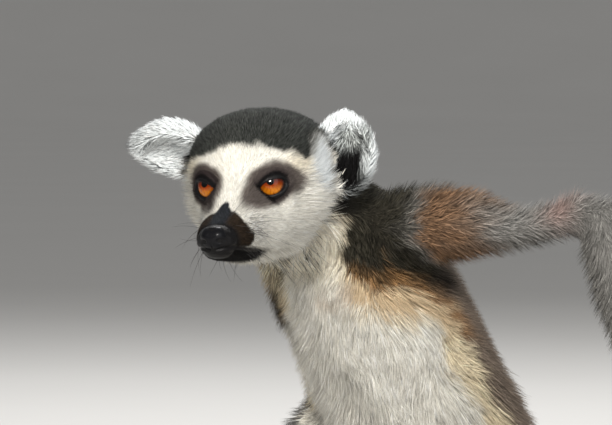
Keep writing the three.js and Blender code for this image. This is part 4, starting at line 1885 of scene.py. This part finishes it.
@dataclass
class Whiskers:
    """Thin black whiskers on the muzzle and the chin.

    Attributes:
        width: A whisker's thickness, in millimetres.
        beds: For each bed, its middle and reach in the head's frame, how many whiskers it has,
            their length and how steeply they leave the skin.
    """

    width: float = 0.2
    beds: tuple[tuple[tuple[float, float, float], float, int, float, float], ...] = (
        ((24.0, 9.0, -14.0), 5.5, 13, 21.0, 40.0),
        ((14.0, 6.0, -28.0), 5.0, 6, 12.0, 50.0),
    )

    def build(self, coat: "Coat") -> bpy.types.Object:
        """Grows the whiskers.

        Args:
            coat: The coat, which knows the skin and the lie of its hair.

        Returns:
            The piece.
        """
        rng = np.random.default_rng(coat.seed)
        hide = coat.hide
        local = HEAD.inward(hide.points)
        picked, lengths, lifts = [], [], []
        for side in Side:
            for middle, reach, count, length, lift in self.beds:
                spot = np.array(middle) * [1.0, side.value, 1.0]
                gap = np.linalg.norm((local - spot) / reach, axis=1)
                near = np.flatnonzero(gap < np.sort(gap)[4 * count] + 1.0)
                picked.append(rng.choice(near, count, replace=False))
                lengths.append(length * rng.uniform(0.7, 1.15, count))
                lifts.append(lift * rng.uniform(0.8, 1.2, count))
        roots = np.concatenate(picked)
        count = len(roots)
        lie = unit(coat.lie[roots] + 0.35 * rng.normal(size=(count, 3)) + [0.0, 0.0, -0.35])
        lengths, lifts = np.concatenate(lengths) * MM, np.radians(np.concatenate(lifts))
        straight = self._straight()
        template = read(straight.vertices, "co", 3)
        bent = self._bend(
            template, hide.points[roots], hide.normals[roots], lie, lengths, lifts
        )
        work = bmesh.new()
        for _ in range(count):
            work.from_mesh(straight)
        mesh = bpy.data.meshes.new("whiskers")
        work.to_mesh(mesh)
        work.free()
        bpy.data.meshes.remove(straight)
        move_points(mesh, bent.reshape(-1, 3))
        shade_smooth(mesh)
        piece = put("whiskers", mesh, HornFinish("whisker_horn", (0.012, 0.01, 0.01)).material())
        log.info("whiskers: %d", count)
        return piece

    def _straight(self) -> bpy.types.Mesh:
        """Makes one straight whisker, one metre long, standing on its root.

        Returns:
            The mesh, whose x and y are true sizes and whose z is the share of the length.
        """
        work = bmesh.new()
        bmesh.ops.create_cone(
            work, cap_ends=True, segments=5, radius1=0.5 * self.width * MM, radius2=0.00002, depth=1.0
        )
        long = [e for e in work.edges if abs(e.verts[0].co.z - e.verts[1].co.z) > 0.5]
        bmesh.ops.subdivide_edges(work, edges=long, cuts=7)
        bmesh.ops.translate(work, verts=work.verts[:], vec=(0.0, 0.0, 0.5))
        mesh = bpy.data.meshes.new("whisker")
        work.to_mesh(mesh)
        work.free()
        return mesh

    def _bend(
        self, template: Array, root: Array, normal: Array, lie: Array, length: Array, lift: Array
    ) -> Array:
        """Bends a copy of the straight whisker at each root.

        Args:
            template: The straight whisker's vertices.
            root: Where each whisker grows.
            normal: The skin's normal at each root.
            lie: The way each one bends.
            length: Each one's length, in metres.
            lift: Each one's angle with the skin at its root.

        Returns:
            Every whisker's vertices, one block for each.
        """
        share = template[None, :, 2]
        across = unit(np.cross(normal, lie))[:, None, :]
        lie, normal = lie[:, None, :], normal[:, None, :]
        angle = (lift[:, None] * (1.0 - 0.8 * share))[..., None]
        middle = 0.5 * (lift[:, None, None] + angle)
        forward = np.cos(middle) * lie + np.sin(middle) * normal
        along = np.cos(angle) * lie + np.sin(angle) * normal
        upright = unit(np.cross(along, np.broadcast_to(across, along.shape)))
        place = root[:, None, :] + (length[:, None] * share)[..., None] * forward
        place = place + across * template[None, :, 0:1] + upright * template[None, :, 1:2]
        return place - 0.0005 * normal * (1.0 - share)[..., None]


@dataclass
class Nails:
    """Flat dark nails on every digit, found as the far ends of the hands and feet.

    Attributes:
        half: Half a nail's length, width and thickness, in millimetres.
    """

    half: tuple[float, float, float] = (2.1, 1.35, 0.6)

    def build(self, hide: Hide) -> bpy.types.Object:
        """Makes the nails.

        Args:
            hide: The skin.

        Returns:
            The piece.
        """
        work = bmesh.new()
        count = 0
        for node, before in (
            ("hand_left", "forearm_left"),
            ("hand_right", "forearm_right"),
            ("foot_left", "shank_left"),
            ("foot_right", "shank_right"),
        ):
            for tip, ahead in self.tips(hide, node, before):
                away = np.array([0.0, 0.0, 1.0])
                if node == "hand_left":
                    away = tip - node_middle("shank_left")
                up = unit(away - (away @ ahead) * ahead)
                across = np.cross(up, ahead)
                frame_of_nail = Matrix.Identity(4)
                size = np.array(self.half) * MM
                place = tip - ahead * 0.9 * MM + up * 1.5 * MM
                columns = (ahead * size[0], across * size[1], up * size[2], place)
                for column, vector in enumerate(columns):
                    for row in range(3):
                        frame_of_nail[row][column] = vector[row]
                bmesh.ops.create_uvsphere(
                    work, u_segments=14, v_segments=9, radius=1.0, matrix=frame_of_nail
                )
                count += 1
        bmesh.ops.recalc_face_normals(work, faces=work.faces)
        order_faces(work)
        mesh = bpy.data.meshes.new("nails")
        work.to_mesh(mesh)
        work.free()
        shade_smooth(mesh)
        piece = put("nails", mesh, HornFinish("nail_horn", (0.03, 0.022, 0.018)).material())
        log.info("nails: %d", count)
        return piece

    @staticmethod
    def tips(hide: Hide, node: str, before: str) -> list[tuple[Array, Array]]:
        """Finds the ends of a hand's or foot's digits.

        Args:
            hide: The skin.
            node: The hand or foot.
            before: The solid that it hangs on.

        Returns:
            For each digit its tip and the way it points.
        """
        mine = hide.node == NODES.index(node)
        other = hide.node == NODES.index(before)
        first, second = hide.edges.T
        span = np.linalg.norm(hide.points[first] - hide.points[second], axis=1)
        inside = (mine | other)[first] & (mine | other)[second]
        first, second, span = first[inside], second[inside], span[inside]
        walk = np.where(other, 0.0, 9.0)
        for _ in range(150):
            np.minimum.at(walk, second, walk[first] + span)
            np.minimum.at(walk, first, walk[second] + span)
        walk = np.where(mine & (walk < 8.0), walk, -1.0)
        found: list[tuple[Array, Array]] = []
        for index in np.argsort(-walk):
            if walk[index] < 0.45 * walk.max() or len(found) == 5:
                break
            point = hide.points[index]
            gap = np.linalg.norm(hide.points - point, axis=1)
            if walk[index] < walk[gap < 0.0055].max() - 1e-9:
                continue
            back = (gap < 0.011) & (gap > 0.006) & (walk > 0.0) & (walk < walk[index])
            if back.any():
                found.append((point, unit(point - hide.points[back].mean(axis=0))))
        return found


def lie_of_hair(hide: Hide) -> Array:
    """The way the hair lies at each vertex of the skin, along the surface.

    Args:
        hide: The skin.

    Returns:
        Unit vectors.
    """
    points = hide.points
    local = HEAD.inward(points)
    lie = np.tile(DOWN_THE_TRUNK, (len(points), 1))
    names = np.array(NODES)[hide.node]
    for name, heading in limb_headings().items():
        droop = 0.7 if name.startswith("thigh") else 0.0
        lie[names == name] = unit(heading + droop * np.array([0.0, 0.3, -1.0]))
    on_neck = names == "neck"
    lie[on_neck] = unit(np.array([0.0, 0.75, -0.45]))
    breast = np.isin(names, ["trunk", "neck"]) & (TRUNK.round_angle(points) < 80.0)
    fan = np.stack([0.35 * np.sign(points[:, 0]), np.zeros(len(points)), -np.ones(len(points))], axis=1)
    lie[breast] = unit(fan[breast])
    tail = hide.on(Part.TAIL) > 0
    lie[tail] = TAIL.measure(points[tail])[1]
    face = np.isin(names, Part.HEAD.value)
    away = local - np.array([36.0, 0.0, -9.0])
    away[:, 1] *= 1.2
    lie[face] = HEAD.heading(away)[face]
    for ear in EARS:
        here = names == f"ear_{ear.side.word}"
        lie[here] = HEAD.heading(np.array(ear.tip))
        tuft = (ear.tuft(local) * face)[:, None]
        lie = lie + tuft * 1.6 * (HEAD.heading(np.array(ear.tip)) - lie)
    normals = hide.normals
    for _ in range(3):
        lie = hide.spread(lie, 5)
        lie = lie - (lie * normals).sum(axis=1, keepdims=True) * normals
        lie = unit(lie)
    return lie


def unwrap_skin(piece: bpy.types.Object, hide: Hide) -> Array:
    """Unwraps the skin into its OFBake map.

    Args:
        piece: The skin's object.
        hide: Its arrays; not used.

    Returns:
        The place on the map of each corner of each of the hide's triangles.
    """
    mesh = piece.data
    mesh.uv_layers.new(name="OFBake")
    bpy.ops.object.select_all(action="DESELECT")
    bpy.context.view_layer.objects.active = piece
    piece.select_set(True)
    bpy.ops.object.mode_set(mode="EDIT")
    bpy.ops.mesh.select_all(action="SELECT")
    bpy.ops.uv.smart_project(angle_limit=math.radians(66.0), island_margin=0.002)
    bpy.ops.object.mode_set(mode="OBJECT")
    mesh.calc_loop_triangles()
    loops = read(mesh.loop_triangles, "loops", 3, int)
    places = np.empty(len(mesh.loops) * 2, np.float32)
    mesh.uv_layers["OFBake"].data.foreach_get("uv", places)
    return places.reshape(-1, 2).astype(float)[loops]


def bareness(hide: Hide) -> Array:
    """Where the skin has no hair, from 0 to 1: lids, lips, soles and palms.

    Args:
        hide: The skin.

    Returns:
        One number to a vertex.
    """
    local = HEAD.inward(hide.points)
    head = hide.on(Part.HEAD)
    bare = np.zeros(len(local))
    for side in Side:
        edge, halo, distance, _ = eye_reading(local, side)
        lids = np.maximum(edge < 1.15, halo < 4.7)
        bare = np.maximum(bare, lids * (distance < 10.4) * head)
    x, _, z = local.T
    lips = np.exp(-(((z - mouth_line(x)) / 1.3) ** 2)) * smoothstep(7.0, 10.0, x) * head
    bare = np.maximum(bare, lips > 0.5)
    bare = np.maximum(bare, (x > 33.5) * head)
    soles = hide.on(Part.HAND, Part.FOOT) * (hide.normals[:, 2] < -0.45)
    bare = np.maximum(bare, soles)
    bare = np.maximum(bare, hide.points[:, 2] < 0.0007)
    return bare


def body_styles() -> list[CoatStyle]:
    """Every piece of the coat."""

    def front(points: Array) -> Array:
        """The short-haired front of the head."""
        local = HEAD.inward(points)
        back = 1.0 - smoothstep(-16.0, -4.0, local[:, 0] + 0.2 * local[:, 2])
        return 1.0 - np.maximum(back, 1.0 - smoothstep(-30.0, -24.0, local[:, 2]))

    def left_back(points: Array) -> Array:
        """The longer-haired rest of the head, on the left."""
        return (1.0 - front(points)) * (HEAD.inward(points)[:, 1] > 0.0)

    def right_back(points: Array) -> Array:
        """The longer-haired rest of the head, on the right."""
        return (1.0 - front(points)) * (HEAD.inward(points)[:, 1] <= 0.0)

    def high(points: Array) -> Array:
        """The top of the trunk and the neck."""
        return smoothstep(0.085, 0.150, points[:, 2])

    def breast(points: Array) -> Array:
        """The front of the trunk's top and of the neck."""
        return high(points) * (TRUNK.round_angle(points) < 84.0) * (points[:, 2] < 0.198)

    def shoulders(points: Array) -> Array:
        """The back and sides of the trunk's top and of the neck."""
        return high(points) * ((TRUNK.round_angle(points) >= 84.0) | (points[:, 2] >= 0.198))

    def low(points: Array) -> Array:
        """The rest of the trunk."""
        return 1.0 - high(points)

    torso = (Part.TRUNK, Part.NECK)
    scruff = CoatStyle(
        "scruff", (Part.HEAD,), 34000, 3.8, 0.32, 42.0, bent=False, clumps=3500, gather=0.45,
        slot="coat_white", rough=0.3,
    )
    fine = CoatStyle("fine", torso, 46000, 12.0, 0.45, 24.0, bent=False, slot="coat_brown")
    return [
        CoatStyle(
            "fur_face", (Part.HEAD,), 46000, 3.4, 0.34, 27.0, bent=False, clumps=7000,
            gather=0.25, slot="coat_white", where=front, rough=0.24,
        ),
        replace(scruff, name="fur_head_left", where=left_back),
        replace(scruff, name="fur_head_right", where=right_back),
        CoatStyle(
            "fur_ears", (Part.EAR,), 11500, 4.8, 0.42, 30.0, clumps=1800, slot="coat_white",
        ),
        replace(
            fine, name="fur_breast", count=48000, length=12.5, lift=40.0, clumps=1700,
            gather=0.5, where=breast, slot="coat_white", rough=0.48, swirl=0.6, depth=0.32,
        ),
        replace(
            fine, name="fur_shoulders", count=48000, length=5.6, width=0.34, lift=62.0,
            clumps=12000, gather=0.2, where=shoulders, rough=0.6, swirl=0.15,
        ),
        replace(
            fine, name="fur_trunk", count=34000, length=12.0, width=0.6, lift=34.0,
            clumps=3500, gather=0.4, where=low, rough=0.34, swirl=0.2,
        ),
        replace(
            fine, name="fur_arms", parts=(Part.UPPER_ARM, Part.FOREARM), count=32000,
            length=6.4, width=0.38, lift=52.0, clumps=6500, gather=0.3, rough=0.55,
            slot="coat_grey",
        ),
        replace(
            fine, name="fur_legs", parts=(Part.THIGH, Part.SHANK), count=29000, length=9.0,
            width=0.5, lift=36.0, clumps=4500, gather=0.35, rough=0.36, slot="coat_grey",
        ),
        replace(
            fine, name="fur_tail", parts=(Part.TAIL,), count=26000, length=16.0, width=0.72,
            lift=32.0, clumps=4500, gather=0.35, rough=0.3, slot="coat_tail",
        ),
        replace(
            fine, name="fur_hands_feet", parts=(Part.HAND, Part.FOOT), count=15000, length=2.3,
            width=0.32, lift=20.0, clumps=5000, gather=0.15, slot="coat_grey",
        ),
    ]


# ---- Studio ----


@dataclass(frozen=True)
class Lamp:
    """A soft rectangular light."""

    name: str
    place: tuple[float, float, float]
    size: float
    power: float
    colour: tuple[float, float, float] = (1.0, 1.0, 1.0)

    def hang(self, target: Vector) -> None:
        """Hangs the lamp.

        Args:
            target: What it faces.
        """
        light = bpy.data.lights.new(self.name, "AREA")
        light.energy = self.power
        light.size = self.size
        light.color = self.colour
        lamp = bpy.data.objects.new(self.name, light)
        lamp.location = self.place
        lamp.rotation_euler = (target - Vector(self.place)).to_track_quat("-Z", "Y").to_euler()
        bpy.context.scene.collection.objects.link(lamp)


@dataclass
class Studio:
    """Floor, lamps and camera. The floor sweeps up far away.

    Attributes:
        flat: How far out the floor stays level, in metres.
        swept: How far out it has its full height.
        rise: That height.
        reach: Half the floor's side.
        drop: How far it lies below the model, so that they never flicker.
        lamp_target: What the lamps face.
        sky: The brightness of the even light from all round.
        camera_place: Where the camera stands.
        camera_target: What it faces.
        lens: Its focal length, in millimetres.
        sensor: Its sensor's width, in millimetres.
        far: How far it sees, in metres.
    """

    flat: float = 12.0
    swept: float = 24.0
    rise: float = 5.0
    reach: float = 25.0
    drop: float = 0.0005
    lamp_target: tuple[float, float, float] = (0.0, -0.08, 0.14)
    sky: float = 0.42
    camera_place: tuple[float, float, float] = (1.52811, -1.74688, 0.27613)
    camera_target: tuple[float, float, float] = (0.03544, -0.1462, 0.1997)
    lens: float = 300.0
    sensor: float = 36.0
    far: float = 50.0

    def build(self) -> None:
        """Sets the studio up."""
        self._lay_floor()
        self._hang_lamps()
        self._stand_camera()
        bpy.context.scene.view_settings.view_transform = "Standard"

    def _lay_floor(self) -> None:
        """Makes the swept floor."""
        floor = bmesh.new()
        bmesh.ops.create_grid(floor, x_segments=100, y_segments=100, size=self.reach)
        mesh = bpy.data.meshes.new("floor")
        floor.to_mesh(mesh)
        floor.free()
        points = read(mesh.vertices, "co", 3)
        away = np.linalg.norm(points[:, :2], axis=1)
        points[:, 2] = self.rise * smoothstep(self.flat, self.swept, away)
        move_points(mesh, points)
        shade_smooth(mesh)
        mesh.materials.append(FloorFinish().material())
        ground = bpy.data.objects.new("floor", mesh)
        ground.location = (0.0, 0.0, -self.drop)
        bpy.context.scene.collection.objects.link(ground)

    def _hang_lamps(self) -> None:
        """Hangs the three lamps and sets the even light from all round."""
        for lamp in (
            Lamp("key", (1.2, -1.66, 1.14), 0.4, 55.0, (1.0, 0.97, 0.92)),
            Lamp("fill", (1.9, -0.5, 0.9), 1.6, 14.0, (0.95, 0.97, 1.0)),
            Lamp("rim", (-0.9, 1.1, 1.7), 0.9, 34.0),
        ):
            lamp.hang(Vector(self.lamp_target))
        world = bpy.data.worlds.new("studio")
        world.use_nodes = True
        light = world.node_tree.nodes["Background"].inputs
        light["Color"].default_value = (0.80, 0.80, 0.80, 1.0)
        light["Strength"].default_value = self.sky
        bpy.context.scene.world = world

    def _stand_camera(self) -> None:
        """Stands the camera and makes it the scene's own."""
        data = bpy.data.cameras.new("camera")
        data.lens = self.lens
        data.sensor_width = self.sensor
        data.clip_end = self.far
        camera = bpy.data.objects.new("camera", data)
        camera.location = self.camera_place
        aim = Vector(self.camera_target) - Vector(self.camera_place)
        camera.rotation_euler = aim.to_track_quat("-Z", "Y").to_euler()
        bpy.context.scene.collection.objects.link(camera)
        bpy.context.scene.camera = camera


def main() -> None:
    """Builds the model piece by piece."""
    logging.basicConfig(level=logging.INFO, format="%(name)s: %(message)s", stream=sys.stdout)
    rng = np.random.default_rng(7)
    Studio().build()
    finder = NodeFinder(rng)
    skin, hide = Skin().build(finder)
    markings = Markings()
    colour, _ = markings.paint(hide.points, hide.node, hide.normals)
    bare = bareness(hide)
    shown = np.maximum(bare, 0.65 * hide.on(Part.HAND, Part.FOOT))
    # The skin under the coat is painted at 0.6 of the coat's colour, as painted shade beneath the hair. Bare
    # skin keeps its full colour, and hands and feet keep most of it.
    paint_points(skin.data, "Coat", colour * (0.6 + 0.4 * shown)[:, None])
    write_number(skin.data, "Bare", bare)
    eye = EyeFinish().material()
    for side in Side:
        Eyeball(side).build(eye)
    NosePad().build()
    coat = Coat(hide, unwrap_skin(skin, hide), lie_of_hair(hide), bare, markings)
    for style in body_styles():
        coat.grow(style)
    Whiskers().build(coat)
    Nails().build(hide)


if __name__ == "__main__":
    main()
